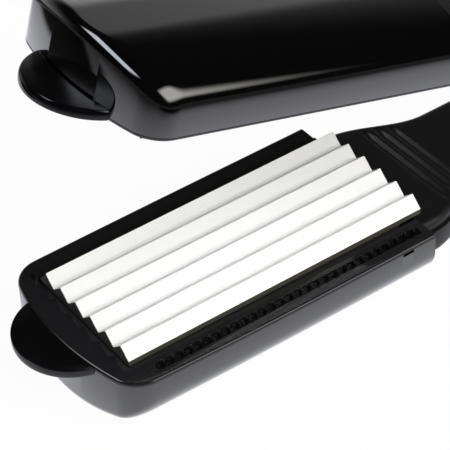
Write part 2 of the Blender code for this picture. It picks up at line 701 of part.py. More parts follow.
def make_arm_shell(name, half, end, rear_round, rear_draw):
    """Matt outer shell of the arm, with a tongue that slides into the jaw shell."""
    outer, inner = [], []
    face = JAW_REAR + GAP
    tongue_half = JAW_HALF_WIDTH - JAW_WALL - TONGUE_SIDE_PLAY
    tongue_depth = JAW_DEPTH - JAW_WALL - TONGUE_FLOOR_PLAY
    for x in (face - ARM_TONGUE, face):
        tongue = (x, tongue_half, ARM_RIM_FRONT - 0.0022, tongue_depth, 0.0055)
        outer.append(arm_section(*tongue, 0.0))
        inner.append(arm_section(*tongue, ARM_WALL))
    for x in arm_stations(end):
        row = (x, arm_half_width(x), arm_rim(x), arm_depth(x), arm_fillet(x))
        outer.append(arm_section(*row, 0.0))
        if x == face:
            inner.append(arm_section(face + 0.0015, *row[1:], ARM_WALL))
        else:
            inner.append(arm_section(*row, ARM_WALL))
    steps = 4
    for i in range(steps + 1):
        angle = math.pi / 2 * i / steps
        for grid, inset in ((outer, 0.0), (inner, ARM_WALL)):
            radius = rear_round - inset
            x = end - inset - radius * (1.0 - math.sin(angle))
            width = ARM_HALF_WIDTH * (1.0 - rear_draw * (1.0 - math.cos(angle)))
            depth = arm_depth(x) - REAR_LIFT * radius * (1.0 - math.cos(angle))
            grid.append(arm_section(x, width, arm_rim(x), depth, arm_fillet(x), inset))
    body = bmesh.new()
    add_skin(body, outer, inner, cap_last=True)
    return make_object(name, body, half, MATT_BLACK, 0.4)


def cover_section(x, half, top, low, inset):
    """Return one section of the inner cover, from its near lower edge over the top."""
    half -= inset
    top -= inset
    radius = COVER_FILLET - inset
    side = [(x, -half, low)]
    steps = 3
    for i in range(steps + 1):
        angle = math.pi / 2 * i / steps
        side.append((x, -half + radius * (1.0 - math.cos(angle)), top - radius * (1.0 - math.sin(angle))))
    mirrored = [(px, -y, z) for px, y, z in side]
    return side + mirrored[::-1]


def make_inner_cover(name, half, end):
    """Inner cover of the arm, with three grooves across it."""
    outer, inner = [], []
    places = [COVER_FRONT] + arm_stations(end)[1:] + [end]
    for i, x in enumerate(places):
        low = arm_rim(x) + GAP
        width = arm_half_width(x) - COVER_INSET
        wall_x = x
        if i == 0:
            wall_x = x + COVER_WALL
        if i == len(places) - 1:
            wall_x = x - COVER_WALL
        outer.append(cover_section(x, width, cover_top(x), low, 0.0))
        inner.append(cover_section(wall_x, width, cover_top(x), low, COVER_WALL))
    body = bmesh.new()
    add_skin(body, outer, inner, cap_first=True, cap_last=True)
    cover = make_object(name, body, half, MATT_BLACK, 0.45)

    grooves = bmesh.new()
    for x in GROOVE_PLACES:
        z = cover_top(x) + GROOVE_SINK
        reach = arm_half_width(x)
        add_profile_across(grooves, circle(x, z, GROOVE_RADIUS, 10), -reach, reach)
    combine(cover, make_helper(name + "_grooves", grooves, half), "DIFFERENCE")
    return cover


def add_cover_screws(arm_name, half, shell, cover):
    """Bosses in the shell, sunk seats in the cover, and the two screws that hold the cover."""
    bosses, holes, seats = bmesh.new(), bmesh.new(), bmesh.new()
    cup = SCREW_HEAD_RADIUS + COVER_WALL
    bore = SCREW_SHANK_RADIUS + GAP
    for i, x in enumerate(COVER_SCREWS):
        top = cover_top(x)
        seat = top - SCREW_HEAD_HEIGHT - 2 * GAP
        cup_low = seat - COVER_WALL
        boss_top = cup_low - GAP
        boss_low = -arm_depth(x) + ARM_WALL / 2
        add_turned(bosses, x, 0.0, ((BOSS_RADIUS, boss_low), (BOSS_RADIUS, boss_top)), 12)
        add_turned(seats, x, 0.0, ((cup, cup_low), (cup, top - COVER_WALL / 4)), 12)
        profile = ((bore, boss_top - SCREW_GRIP - GAP), (bore, seat),
                   (SCREW_HEAD_RADIUS + GAP, seat), (SCREW_HEAD_RADIUS + GAP, top + 0.001))
        add_turned(holes, x, 0.0, profile, 12)
        make_screw(f"{arm_name}_cover_screw_{i + 1}", half, x, seat + GAP, boss_top - SCREW_GRIP)
    combine(shell, make_helper(arm_name + "_bosses", bosses, half), "UNION")
    combine(cover, make_helper(arm_name + "_seats", seats, half), "UNION")
    hole_helper = make_helper(arm_name + "_screw_holes", holes, half)
    combine(shell, hole_helper, "DIFFERENCE")
    combine(cover, hole_helper, "DIFFERENCE")


def make_lead(name, half):
    """Flat twin lead from the handle to the heater, lying on the arm's floor."""
    wire = 0.0008
    profile = []
    for side in (1, -1):
        for i in range(5):
            angle = math.radians(-60 + 30 * i) if side > 0 else math.radians(120 + 30 * i)
            profile.append((side * wire * 0.9 + wire * math.cos(angle), wire * math.sin(angle)))
    rings = []
    body = bmesh.new()
    for i in range(LEAD_STEPS + 1):
        share = i / LEAD_STEPS
        x = LEAD_START + (LEAD_END - LEAD_START) * share
        y = LEAD_SWAY * math.sin(share * 3.0 * math.pi) + LEAD_SIDE
        z = -arm_depth(x) + ARM_WALL + wire + GAP
        z += y * y / (2.0 * CROWN_RADIUS) + 0.0003
        rings.append([body.verts.new((x, y + py, z + pz)) for py, pz in profile])
    count = len(profile)
    for low, high in zip(rings, rings[1:]):
        for i in range(count):
            j = (i + 1) % count
            body.faces.new((low[i], low[j], high[j], high[i]))
    body.faces.new(rings[0])
    body.faces.new(rings[-1])
    return make_object(name, body, half, (0.55, 0.05, 0.04), 0.5)


# ---------------------------------------------------------------- hinge
def barrel_outline(radius, foot_front, foot_rear, foot_z):
    """Return an (x, z) outline: a round barrel on the hinge line with a foot down to foot_z."""
    points = [(foot_front, foot_z), (foot_rear, foot_z)]
    steps = 12
    for i in range(steps + 1):
        angle = math.pi * i / steps
        points.append((HINGE_X + radius * math.cos(angle), HINGE_Z + radius * math.sin(angle)))
    return points


def add_across(body, x, z, profile, count=16):
    """Add a round solid about a line along Y, from (radius, y) pairs."""
    rings = []
    turn = 2.0 * math.pi / count
    for radius, y in profile:
        ring = [(x + radius * math.cos(turn * i), y, z + radius * math.sin(turn * i)) for i in range(count)]
        rings.append([body.verts.new(point) for point in ring])
    for low, high in zip(rings, rings[1:]):
        for i in range(count):
            j = (i + 1) % count
            body.faces.new((low[i], low[j], high[j], high[i]))
    body.faces.new(rings[0])
    body.faces.new(rings[-1])


def add_ears(shell, half):
    """Two ears on the lower arm that carry the hinge pin."""
    ears = bmesh.new()
    foot = -ARM_REAR_DEPTH + ARM_WALL + EAR_LIFT
    for side in (-1, 1):
        low, high = sorted((side * EAR_INNER, side * (EAR_OUTER - ARM_WALL / 2)))
        outline = barrel_outline(BARREL_RADIUS, HINGE_X - BARREL_RADIUS, HINGE_X + BARREL_RADIUS, foot)
        add_profile_across(ears, outline, low, high)
    combine(shell, make_helper("ear_bodies", ears, half), "UNION")
    hole = bmesh.new()
    add_across(hole, HINGE_X, HINGE_Z, ((PIN_HOLE_RADIUS, -HOLE_REACH), (PIN_HOLE_RADIUS, HOLE_REACH)))
    combine(shell, make_helper("ear_hole", hole, half), "DIFFERENCE")


def add_knuckles(shell, half):
    """Two knuckles on the upper arm that turn between the ears."""
    knuckles = bmesh.new()
    root_x = UPPER_ARM_END - ARM_WALL / 2
    centre_z = 2.0 * MATING_Z - HINGE_Z
    steps = 12
    for side in (-1, 1):
        points = [(root_x, KNUCKLE_ROOT[0]), (root_x, KNUCKLE_ROOT[1])]
        for i in range(steps + 1):
            angle = math.radians(118) - math.radians(236) * i / steps
            points.append((HINGE_X + BARREL_RADIUS * math.cos(angle),
                           centre_z + BARREL_RADIUS * math.sin(angle)))
        low, high = sorted((side * KNUCKLE_INNER, side * KNUCKLE_OUTER))
        add_profile_across(knuckles, points, low, high)
    combine(shell, make_helper("knuckle_bodies", knuckles, half), "UNION")
    hole = bmesh.new()
    add_across(hole, HINGE_X, centre_z, ((PIN_HOLE_RADIUS, -HOLE_REACH), (PIN_HOLE_RADIUS, HOLE_REACH)))
    combine(shell, make_helper("knuckle_hole", hole, half), "DIFFERENCE")


def make_hinge_pin(half):
    """Steel pin through ears and knuckles, with a cap pressed on each end."""
    reach = EAR_OUTER - ARM_WALL / 2 + GAP
    body = bmesh.new()
    add_across(body, HINGE_X, HINGE_Z, ((HINGE_PIN_RADIUS, -reach), (HINGE_PIN_RADIUS, reach)))
    make_object("hinge_pin", body, half, STEEL, 0.25, 1.0)
    for name, side in (("hinge_cap_near", -1), ("hinge_cap_far", 1)):
        near = side * (reach + GAP)
        far = side * (reach + GAP + CAP_THICKNESS)
        cap = bmesh.new()
        add_across(cap, HINGE_X, HINGE_Z, ((CAP_RADIUS, near), (CAP_RADIUS, far - side * 0.0004),
                                           (CAP_RADIUS - 0.0005, far)))
        make_object(name, cap, half, MATT_BLACK, 0.4)


def make_hinge_spring(half):
    """Torsion spring round the pin, with one leg down to the lower arm's floor."""
    points = []
    steps_per_turn = 10
    count = int(SPRING_TURNS * steps_per_turn)
    for i in range(count + 1):
        angle = math.pi + 2.0 * math.pi * i / steps_per_turn
        y = -SPRING_HALF_LENGTH + 2.0 * SPRING_HALF_LENGTH * i / count
        points.append((HINGE_X + SPRING_RADIUS * math.cos(angle), y,
                       HINGE_Z + SPRING_RADIUS * math.sin(angle)))
    last = points[-1]
    leg_low = -ARM_REAR_DEPTH + ARM_WALL + SPRING_WIRE + 2 * GAP
    points = points + [(last[0] + 0.0004, last[1], last[2] - 0.003), (last[0] + 0.001, last[1], leg_low)]
    curve = bpy.data.curves.new("hinge_spring", "CURVE")
    curve.dimensions = "3D"
    curve.bevel_depth = SPRING_WIRE
    curve.bevel_resolution = 1
    curve.use_fill_caps = True
    line = curve.splines.new("POLY")
    line.points.add(len(points) - 1)
    for i, point in enumerate(points):
        line.points[i].co = (*point, 1.0)
    item = bpy.data.objects.new("hinge_spring", curve)
    bpy.context.scene.collection.objects.link(item)
    item.parent = half
    curve.materials.append(make_material("hinge_spring_finish", STEEL, 0.25, 1.0))


def make_rear_cover(half):
    """Small cover behind the hinge, over the cord's inlet."""
    start = HINGE_X + BARREL_RADIUS + 0.0015
    places = [start, LOWER_ARM_END - LOWER_REAR_ROUND, LOWER_ARM_END - 0.0010]
    widths = [ARM_HALF_WIDTH, ARM_HALF_WIDTH, ARM_HALF_WIDTH - REAR_COVER_DRAW]
    outer, inner = [], []
    for i, (x, width) in enumerate(zip(places, widths)):
        wall_x = x + (COVER_WALL if i == 0 else 0.0) - (COVER_WALL if i == 2 else 0.0)
        low = arm_rim(x) + GAP
        outer.append(cover_section(x, width - COVER_INSET, cover_top(x), low, 0.0))
        inner.append(cover_section(wall_x, width - COVER_INSET, cover_top(x), low, COVER_WALL))
    body = bmesh.new()
    add_skin(body, outer, inner, cap_first=True, cap_last=True)
    return make_object("rear_cover", body, half, MATT_BLACK, 0.45)


def make_cord_gland(shell, half):
    """Rubber gland in the rear wall, with the bore that a cord would come out of."""
    hole = bmesh.new()
    wall_front = LOWER_ARM_END - ARM_WALL
    outline = circle(0.0, GLAND_HEIGHT, GLAND_NECK + GAP, 20)
    add_profile_along(hole, outline, wall_front - 0.004, LOWER_ARM_END + 0.002)
    combine(shell, make_helper("gland_hole", hole, half), "DIFFERENCE")
    body = bmesh.new()
    bore_front = wall_front - 0.0020
    rear_face = LOWER_ARM_END + GAP
    profile = ((GLAND_BORE, bore_front), (GLAND_RADIUS, bore_front), (GLAND_RADIUS, wall_front - GAP),
               (GLAND_NECK, wall_front - GAP), (GLAND_NECK, rear_face), (GLAND_RADIUS, rear_face),
               (GLAND_RADIUS - 0.0012, REAR_TIP), (GLAND_BORE, REAR_TIP))
    rings = []
    count = 20
    for radius, x in profile:
        rings.append([body.verts.new((x, y, z)) for y, z in circle(0.0, GLAND_HEIGHT, radius, count)])
    for low, high in zip(rings, rings[1:] + rings[:1]):
        for i in range(count):
            j = (i + 1) % count
            body.faces.new((low[i], low[j], high[j], high[i]))
    make_object("cord_gland", body, half, MATT_BLACK, 0.6)


# ---------------------------------------------------------------- switch, lamp and board
def make_switch_and_lamp(shell, half):
    """Slide switch and lamp in the upper arm's outer face, on a small circuit board."""
    face = -arm_depth(SWITCH_X)
    stem_length, stem_half = SWITCH_STEM
    slot = bmesh.new()
    add_box(slot, (SWITCH_X - stem_length / 2 - GAP, -stem_half - GAP, face - 0.003),
            (SWITCH_X + stem_length / 2 + SWITCH_TRAVEL + GAP, stem_half + GAP, face + 0.006))
    hole = LAMP_RADIUS + GAP
    add_turned(slot, LAMP_X, 0.0, ((hole, -arm_depth(LAMP_X) - 0.002), (hole, face + 0.006)), 12)
    combine(shell, make_helper("switch_slot", slot, half), "DIFFERENCE")

    cap_top = face - GAP
    cap_low = face - SWITCH_PROUD
    board_top = face + ARM_WALL + 0.0042
    slide = bmesh.new()
    outline = []
    for x, y in ((1, 1), (-1, 1), (-1, -1), (1, -1)):
        centre = (SWITCH_X + x * (SWITCH_LENGTH / 2 - 0.0015), y * (SWITCH_HALF_WIDTH - 0.0015))
        start = math.atan2(y, x) - math.pi / 4
        for i in range(4):
            angle = start + math.pi / 2 * i / 3
            outline.append((centre[0] + 0.0015 * math.cos(angle), centre[1] + 0.0015 * math.sin(angle)))
    small = [(SWITCH_X + (x - SWITCH_X) * 0.9, y * 0.86) for x, y in outline]
    add_stack(slide, [(small, cap_low), (outline, cap_low + 0.0005), (outline, cap_top)])
    switch = make_object("power_switch", slide, half, MATT_BLACK, 0.35)
    stem = bmesh.new()
    add_box(stem, (SWITCH_X - stem_length / 2, -stem_half, cap_top - 0.0006),
            (SWITCH_X + stem_length / 2, stem_half, board_top - 0.0016))
    combine(switch, make_helper("switch_stem", stem, half), "UNION")
    grips = bmesh.new()
    for i in (-1, 0, 1):
        add_box(grips, (SWITCH_X + i * 0.0022 - 0.0004, -0.01, cap_low - 0.001),
                (SWITCH_X + i * 0.0022 + 0.0004, 0.01, cap_low + 0.0004))
    combine(switch, make_helper("switch_grips", grips, half), "DIFFERENCE")

    lamp = bmesh.new()
    lens_face = -arm_depth(LAMP_X)
    profile = ((LAMP_RADIUS * 0.5, lens_face - 0.0006), (LAMP_RADIUS, lens_face - 0.0001),
               (LAMP_RADIUS, board_top - GAP))
    add_turned(lamp, LAMP_X, 0.0, profile, 12)
    make_object("power_lamp", lamp, half, (0.75, 0.10, 0.06), 0.2)

    board = bmesh.new()
    start = SWITCH_X - 0.010
    width = ARM_HALF_WIDTH - ARM_WALL - GAP - 0.0008
    add_box(board, (start, -width, board_top), (start + BOARD_LENGTH, width, board_top + BOARD_THICKNESS))
    board_item = make_object("circuit_board", board, half, (0.02, 0.16, 0.06), 0.4)
    notch = bmesh.new()
    for x in COVER_SCREWS:
        radius = BOSS_RADIUS + 2 * GAP
        add_turned(notch, x, 0.0, ((radius, board_top - 0.001), (radius, board_top + 0.004)), 12)
    combine(board_item, make_helper("board_notch", notch, half), "DIFFERENCE")
    return switch


# ---------------------------------------------------------------- assembly
def build_half(prefix, half, shift, arm_end, rear_round, rear_draw):
    """Make every piece that both halves have."""
    make_jaw_shell(prefix + "_jaw_shell", half)
    make_insert_frame(prefix + "_insert_frame", half)
    make_comb(prefix + "_comb_strip", half)
    make_crimp_plate(prefix + "_crimp_plate", half, shift)
    make_carrier(prefix + "_plate_carrier", half)
    make_heater(prefix + "_heater", half)
    make_heater_springs(prefix + "_heater_spring", half)
    make_thermal_cutout(prefix + "_thermal_cutout", half)
    make_carrier_screws(prefix + "_carrier_screw", half)
    make_cool_tip(prefix + "_cool_tip", half)
    shell = make_arm_shell(prefix + "_arm_shell", half, arm_end, rear_round, rear_draw)
    cover_end = min(arm_end, HINGE_X - BARREL_RADIUS) - 0.0020
    cover = make_inner_cover(prefix + "_inner_cover", half, cover_end)
    add_cover_screws(prefix, half, shell, cover)
    make_lead(prefix + "_heater_lead", half)
    return shell


lower_half = make_empty("lower_half", Matrix.Translation((-MIDDLE_X, 0.0, -FOOT_Z)))
lower_shell = build_half("lower", lower_half, False, LOWER_ARM_END, LOWER_REAR_ROUND, LOWER_REAR_DRAW)
add_ears(lower_shell, lower_half)
make_hinge_pin(lower_half)
make_hinge_spring(lower_half)
make_rear_cover(lower_half)
make_cord_gland(lower_shell, lower_half)

# The upper half hangs on an empty that lies on the hinge line and is turned by the open angle.
hinge_line = Matrix.Translation((HINGE_X - MIDDLE_X, 0.0, HINGE_Z - FOOT_Z))
upper_pivot = make_empty("upper_arm_pivot", hinge_line @ Matrix.Rotation(OPEN_ANGLE, 4, "Y"))
turned_over = Matrix.Translation((-HINGE_X, 0.0, 2.0 * MATING_Z - HINGE_Z))
turned_over = turned_over @ Matrix.Rotation(math.pi, 4, "X")
upper_half = make_empty("upper_half", turned_over, upper_pivot)
upper_shell = build_half("upper", upper_half, True, UPPER_ARM_END, UPPER_REAR_ROUND, UPPER_REAR_DRAW)
add_knuckles(upper_shell, upper_half)
make_switch_and_lamp(upper_shell, upper_half)
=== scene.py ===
"""Hair crimper, open on its hinge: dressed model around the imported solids."""

import math

import bmesh
import bpy
from mathutils import Matrix, Vector


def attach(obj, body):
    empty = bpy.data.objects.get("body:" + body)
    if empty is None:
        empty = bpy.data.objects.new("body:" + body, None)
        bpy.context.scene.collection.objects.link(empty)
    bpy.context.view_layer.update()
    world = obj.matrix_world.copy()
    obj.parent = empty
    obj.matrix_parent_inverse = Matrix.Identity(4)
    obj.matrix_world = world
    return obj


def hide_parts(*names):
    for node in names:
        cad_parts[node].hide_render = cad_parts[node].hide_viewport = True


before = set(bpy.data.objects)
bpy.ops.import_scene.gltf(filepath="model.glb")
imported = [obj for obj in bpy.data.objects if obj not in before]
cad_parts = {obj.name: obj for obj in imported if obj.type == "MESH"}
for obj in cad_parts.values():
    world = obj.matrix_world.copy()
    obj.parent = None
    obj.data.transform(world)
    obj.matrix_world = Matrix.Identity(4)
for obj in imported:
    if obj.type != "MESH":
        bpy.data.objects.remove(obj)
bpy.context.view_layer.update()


# ------------------------------------------------------------------ camera
# A long lens looks down on the jaws from the near left, a little turned about
# its own axis, so that only the front of the crimper is in the picture.
def add_object(name, data):
    """Put a new object with this data into the scene."""
    thing = bpy.data.objects.new(name, data)
    bpy.context.scene.collection.objects.link(thing)
    return thing


camera_place = (-0.313913, -0.349396, 0.390169)
camera_azimuth = math.radians(-34.627)
camera_elevation = math.radians(40.687)
camera_roll = math.radians(-2.537)
camera_data = bpy.data.cameras.new("camera")
camera_data.sensor_width = 36.0
camera_data.lens = 180.5
camera_data.clip_end = 20.0
camera = add_object("camera", camera_data)
sight = Vector((-math.sin(camera_azimuth) * math.cos(camera_elevation),
                math.cos(camera_azimuth) * math.cos(camera_elevation),
                -math.sin(camera_elevation)))
camera.matrix_world = (Matrix.Translation(camera_place)
                       @ sight.to_track_quat("-Z", "Y").to_matrix().to_4x4()
                       @ Matrix.Rotation(camera_roll, 4, "Z"))
bpy.context.scene.camera = camera
bpy.context.scene.view_settings.view_transform = "Standard"


# ------------------------------------------------------------------ table, backdrop and lamps
# A white table under three soft lamps.  Light Path shows table and backdrop as white and keeps
# that light off the crimper.  In its gloss the table is a painted glow, fading with distance, with
# two painted dark places.
def linear(hex_colour):
    """Turn an sRGB hex colour into linear values."""
    channels = [int(hex_colour[i:i + 2], 16) / 255.0 for i in (1, 3, 5)]
    return [c / 12.92 if c <= 0.04045 else ((c + 0.055) / 1.055) ** 2.4 for c in channels] + [1.0]


def add_node(tree, kind, settings=None):
    """Add a node and set its fields and sockets.  A node or socket as value is linked."""
    node = tree.nodes.new(kind)
    for key, value in (settings or {}).items():
        if isinstance(value, bpy.types.Node):
            value = value.outputs[0]
        if isinstance(value, bpy.types.NodeSocket):
            tree.links.new(value, node.inputs[key])
        elif isinstance(key, str) and hasattr(node, key):
            setattr(node, key, value)
        else:
            node.inputs[key].default_value = value
    return node


def new_material(name):
    """Return a material and its emptied node tree."""
    material = bpy.data.materials.new(name)
    material.use_nodes = True
    material.node_tree.nodes.clear()
    return material, material.node_tree


soft_step = {"interpolation_type": "SMOOTHSTEP"}
white = linear("#ffffff")
table_half_size = 3.0
table_top_z = -0.0001                # a hair under the crimper, so that they never share a face
lit_middle = (0.0, 0.08, 0.0)
lit_radius, lit_end = 0.04, 0.55
faded_level = 0.08
dark_places = (((-0.33, 0.27, 0.0), 0.11, 0.15, 0.04),       # middle, radius, where it ends, level
               ((-0.14, -0.47, 0.0), 0.14, 0.30, 0.08))
seen_white = 0.97                    # the camera sees this much plain white, and paper with shadow
fill_level = 0.22
room_level = 0.01                    # the gloss shows a dark room with a glow at its far end
far_end = (0.5, 0.866, 0.0)
far_glow_low, far_glow_high, far_glow_level = -0.05, 0.46, 0.62

table_material, tree = new_material("white_table")
path = add_node(tree, "ShaderNodeLightPath")
where = add_node(tree, "ShaderNodeTexCoord")
oval = add_node(tree, "ShaderNodeMapping", {
    "Scale": (0.8, 1.0, 1.0), "Vector": where.outputs["Object"]})
spread = add_node(tree, "ShaderNodeVectorMath", {"operation": "DISTANCE", 0: oval, 1: lit_middle})
level = add_node(tree, "ShaderNodeMapRange", {
    **soft_step, "From Min": lit_radius, "From Max": lit_end, "To Min": 1.0, "To Max": faded_level,
    "Value": spread.outputs["Value"]})
for middle, radius, end, darkest in dark_places:
    away = add_node(tree, "ShaderNodeVectorMath", {
        "operation": "DISTANCE", 0: where.outputs["Object"], 1: middle})
    unshaded = add_node(tree, "ShaderNodeMapRange", {
        **soft_step, "From Min": radius, "From Max": end, "To Min": darkest,
        "Value": away.outputs["Value"]})
    level = add_node(tree, "ShaderNodeMath", {"operation": "MULTIPLY", 0: level, 1: unshaded})
paper = add_node(tree, "ShaderNodeBsdfDiffuse", {"Color": linear("#f2f2f1")})
glow = add_node(tree, "ShaderNodeEmission", {"Color": white, "Strength": 1.0})
mirrored_glow = add_node(tree, "ShaderNodeEmission", {
    "Color": linear("#f3f4fb"), "Strength": level})
share = add_node(tree, "ShaderNodeMath", {
    "operation": "MULTIPLY", 0: path.outputs["Is Camera Ray"], 1: seen_white})
seen = add_node(tree, "ShaderNodeMixShader", {0: share, 1: paper, 2: glow})
reflected = add_node(tree, "ShaderNodeMath", {
    "operation": "MAXIMUM", 0: path.outputs["Is Glossy Ray"],
    1: path.outputs["Is Transmission Ray"]})
shown = add_node(tree, "ShaderNodeMixShader", {0: reflected, 1: seen, 2: mirrored_glow})
add_node(tree, "ShaderNodeOutputMaterial", {"Surface": shown})
table_mesh = bpy.data.meshes.new("table_top")
table_mesh.from_pydata([(x * table_half_size, y * table_half_size, table_top_z)
                        for x, y in ((-1, -1), (1, -1), (1, 1), (-1, 1))], [], [(0, 1, 2, 3)])
table_mesh.materials.append(table_material)
table_top = add_object("table_top", table_mesh)

world = bpy.data.worlds.new("studio")
bpy.context.scene.world = world
world.use_nodes = True
tree = world.node_tree
tree.nodes.clear()
path = add_node(tree, "ShaderNodeLightPath")
fill = add_node(tree, "ShaderNodeBackground", {"Color": white, "Strength": fill_level})
sight_line = add_node(tree, "ShaderNodeTexCoord")
height = add_node(tree, "ShaderNodeSeparateXYZ", {0: sight_line.outputs["Generated"]})
low = add_node(tree, "ShaderNodeMapRange", {
    **soft_step, "From Min": far_glow_low, "From Max": far_glow_high, "To Min": far_glow_level,
    "To Max": 0.0, "Value": height.outputs["Z"]})
far_side = add_node(tree, "ShaderNodeVectorMath", {
    "operation": "DOT_PRODUCT", 0: sight_line.outputs["Generated"], 1: far_end})
facing_far = add_node(tree, "ShaderNodeMapRange", {
    **soft_step, "From Min": 0.2, "From Max": 0.85, "Value": far_side.outputs["Value"]})
horizon = add_node(tree, "ShaderNodeMath", {
    "operation": "MULTIPLY_ADD", 0: low, 1: facing_far, 2: room_level})
dark_room = add_node(tree, "ShaderNodeBackground", {"Color": white, "Strength": horizon})
backdrop = add_node(tree, "ShaderNodeBackground", {"Color": white, "Strength": 1.0})
room = add_node(tree, "ShaderNodeMixShader", {
    0: path.outputs["Is Glossy Ray"], 1: fill, 2: dark_room})
seen = add_node(tree, "ShaderNodeMath", {
    "operation": "MAXIMUM", 0: path.outputs["Is Camera Ray"],
    1: path.outputs["Is Transmission Ray"]})
shown = add_node(tree, "ShaderNodeMixShader", {0: seen, 1: room, 2: backdrop})
add_node(tree, "ShaderNodeOutputWorld", {"Surface": shown})


def add_softbox(name, direction, distance, size, power, colour, glossy, diffuse, core):
    """Add a softbox that faces the jaws from a direction and fades outside its core."""
    data = bpy.data.lights.new(name, "AREA")
    data.shape = "RECTANGLE"
    data.size, data.size_y = size
    data.energy = power
    data.color = linear(colour)[:3]
    data.use_nodes = True
    tree = data.node_tree
    tree.nodes.clear()
    cloth = add_node(tree, "ShaderNodeNewGeometry")
    middle = add_node(tree, "ShaderNodeVectorMath", {
        "operation": "SUBTRACT", 0: cloth.outputs["Parametric"], 1: (0.5, 0.5, 0.0)})
    aside = add_node(tree, "ShaderNodeVectorMath", {"operation": "ABSOLUTE", 0: middle})
    sides = add_node(tree, "ShaderNodeSeparateXYZ", {0: aside})
    fades = [add_node(tree, "ShaderNodeMapRange", {
        **soft_step, "From Min": core / 2, "From Max": 0.5, "To Min": 1.0, "To Max": 0.0,
        "Value": sides.outputs[axis]})
             for axis in ("X", "Y")]
    level = add_node(tree, "ShaderNodeMath", {"operation": "MULTIPLY", 0: fades[0], 1: fades[1]})
    shine = add_node(tree, "ShaderNodeEmission", {"Strength": level})
    add_node(tree, "ShaderNodeOutputLight", {"Surface": shine})
    lamp = add_object(name, data)
    away = Vector(direction).normalized()
    lamp.matrix_world = (Matrix.Translation(lamp_aim + away * distance)
                         @ away.to_track_quat("Z", "Y").to_matrix().to_4x4())
    lamp.visible_glossy = glossy
    lamp.visible_diffuse = diffuse


lamp_aim = Vector((-0.06, 0.0, 0.04))
add_softbox("near_fill", (0.1, -0.69, 0.72), 1.2, (1.1, 1.1), 18.5, "#ffffff",
            glossy=False, diffuse=True, core=0.6)
add_softbox("near_softbox", (0.40, -0.79, 0.47), 1.3, (1.05, 0.85), 7.4, "#fffcf6",
            glossy=True, diffuse=True, core=0.45)
add_softbox("far_left_softbox", (-0.50, 0.34, 0.79), 1.3, (1.05, 0.56), 7.2, "#f3f8ff",
            glossy=True, diffuse=False, core=0.65)

# ------------------------------------------------------------------ glossy jaw shells
# Each jaw's outer shell is one injection moulding in black ABS, with a crowned back,
# a bowed front wall and large soft corners.  The moulding tool was polished to a mirror.
MM = 0.001
PLATE_FRONT_TO_ORIGIN = 115.55       # the plates' front ends lie this far ahead of the origin
RIM_HEIGHT = 16.4                    # lower jaw's rim above the table
MATING_HEIGHT = 3.775                # plane between the closed plates, above the rim
HINGE_X = 219.5
HINGE_Z = 4.6
OPEN_ANGLE = math.radians(16.2)

lower_place = Matrix.Translation((-PLATE_FRONT_TO_ORIGIN, 0.0, RIM_HEIGHT))
upper_place = (Matrix.Translation((HINGE_X - PLATE_FRONT_TO_ORIGIN, 0.0, HINGE_Z + RIM_HEIGHT))
               @ Matrix.Rotation(OPEN_ANGLE, 4, "Y")
               @ Matrix.Translation((-HINGE_X, 0.0, 2.0 * MATING_HEIGHT - HINGE_Z))
               @ Matrix.Rotation(math.pi, 4, "X"))
HALVES = (("lower", lower_place, "lower_arm"), ("upper", upper_place, "upper_arm"))


def ease(value, start, end, low, high):
    """Blend smoothly from low to high while value goes from start to end."""
    part = min(max((value - start) / (end - start), 0.0), 1.0)
    part = part * part * (3.0 - 2.0 * part)
    return low + (high - low) * part


def quarter_arc(steps):
    """Return the angles of a quarter turn, start and end included."""
    return [math.pi / 2 * i / steps for i in range(steps + 1)]


def ring_body(outlines, looped=False):
    """Join closed outlines into one skin, and close both ends unless it runs round in a loop."""
    body = bmesh.new()
    rings = [[body.verts.new(point) for point in outline] for outline in outlines]
    count = len(rings[0])
    for first, second in zip(rings, rings[1:] + rings[:looped]):
        for i in range(count):
            j = (i + 1) % count
            body.faces.new((first[i], first[j], second[j], second[i]))
    if not looped:
        body.faces.new(list(reversed(rings[0])))
        body.faces.new(rings[-1])
    return body


def stack_body(levels):
    """Join closed plan outlines, given bottom to top as (points, z)."""
    return ring_body([[(x, y, z) for x, y in points] for points, z in levels])


def box_body(low, high):
    """Return a box between two corners."""
    points = [(low[0], low[1]), (high[0], low[1]), (high[0], high[1]), (low[0], high[1])]
    return stack_body([(points, low[2]), (points, high[2])])


def wall_body(outer, inner, cap_first=False, cap_last=False, fold_last=False):
    """Join two grids of points into one walled shell with closed edges."""
    body = bmesh.new()
    outer = [[body.verts.new(point) for point in row] for row in outer]
    inner = [[body.verts.new(point) for point in row] for row in inner]
    rows, columns = len(outer), len(outer[0])
    for i in range(rows - 1):
        for j in range(columns - 1):
            for grid in (outer, inner):
                body.faces.new((grid[i][j], grid[i + 1][j], grid[i + 1][j + 1], grid[i][j + 1]))
        for j in (0, columns - 1):
            body.faces.new((outer[i][j], outer[i + 1][j], inner[i + 1][j], inner[i][j]))
    for i, capped, folded in ((0, cap_first, False), (rows - 1, cap_last, fold_last)):
        if capped:
            body.faces.new(outer[i])
            body.faces.new(inner[i])
            body.faces.new((outer[i][0], outer[i][-1], inner[i][-1], inner[i][0]))
        elif not folded:
            for j in range(columns - 1):
                body.faces.new((outer[i][j], outer[i][j + 1], inner[i][j + 1], inner[i][j]))
    return body


def smooth(piece, sharp):
    """Shade the piece smooth, but for edges that turn by more than sharp degrees."""
    piece.data.shade_smooth()
    piece.data.set_sharp_from_angle(angle=math.radians(sharp))


def make_piece(name, body, place, sharp=32.0):
    """Turn a bmesh in jaw millimetres into a smooth object in the shared frame."""
    bmesh.ops.remove_doubles(body, verts=body.verts, dist=0.0008)
    bmesh.ops.recalc_face_normals(body, faces=body.faces)
    body.transform(Matrix.Scale(MM, 4) @ place)
    mesh = bpy.data.meshes.new(name)
    body.to_mesh(mesh)
    body.free()
    piece = add_object(name, mesh)
    smooth(piece, sharp)
    return piece


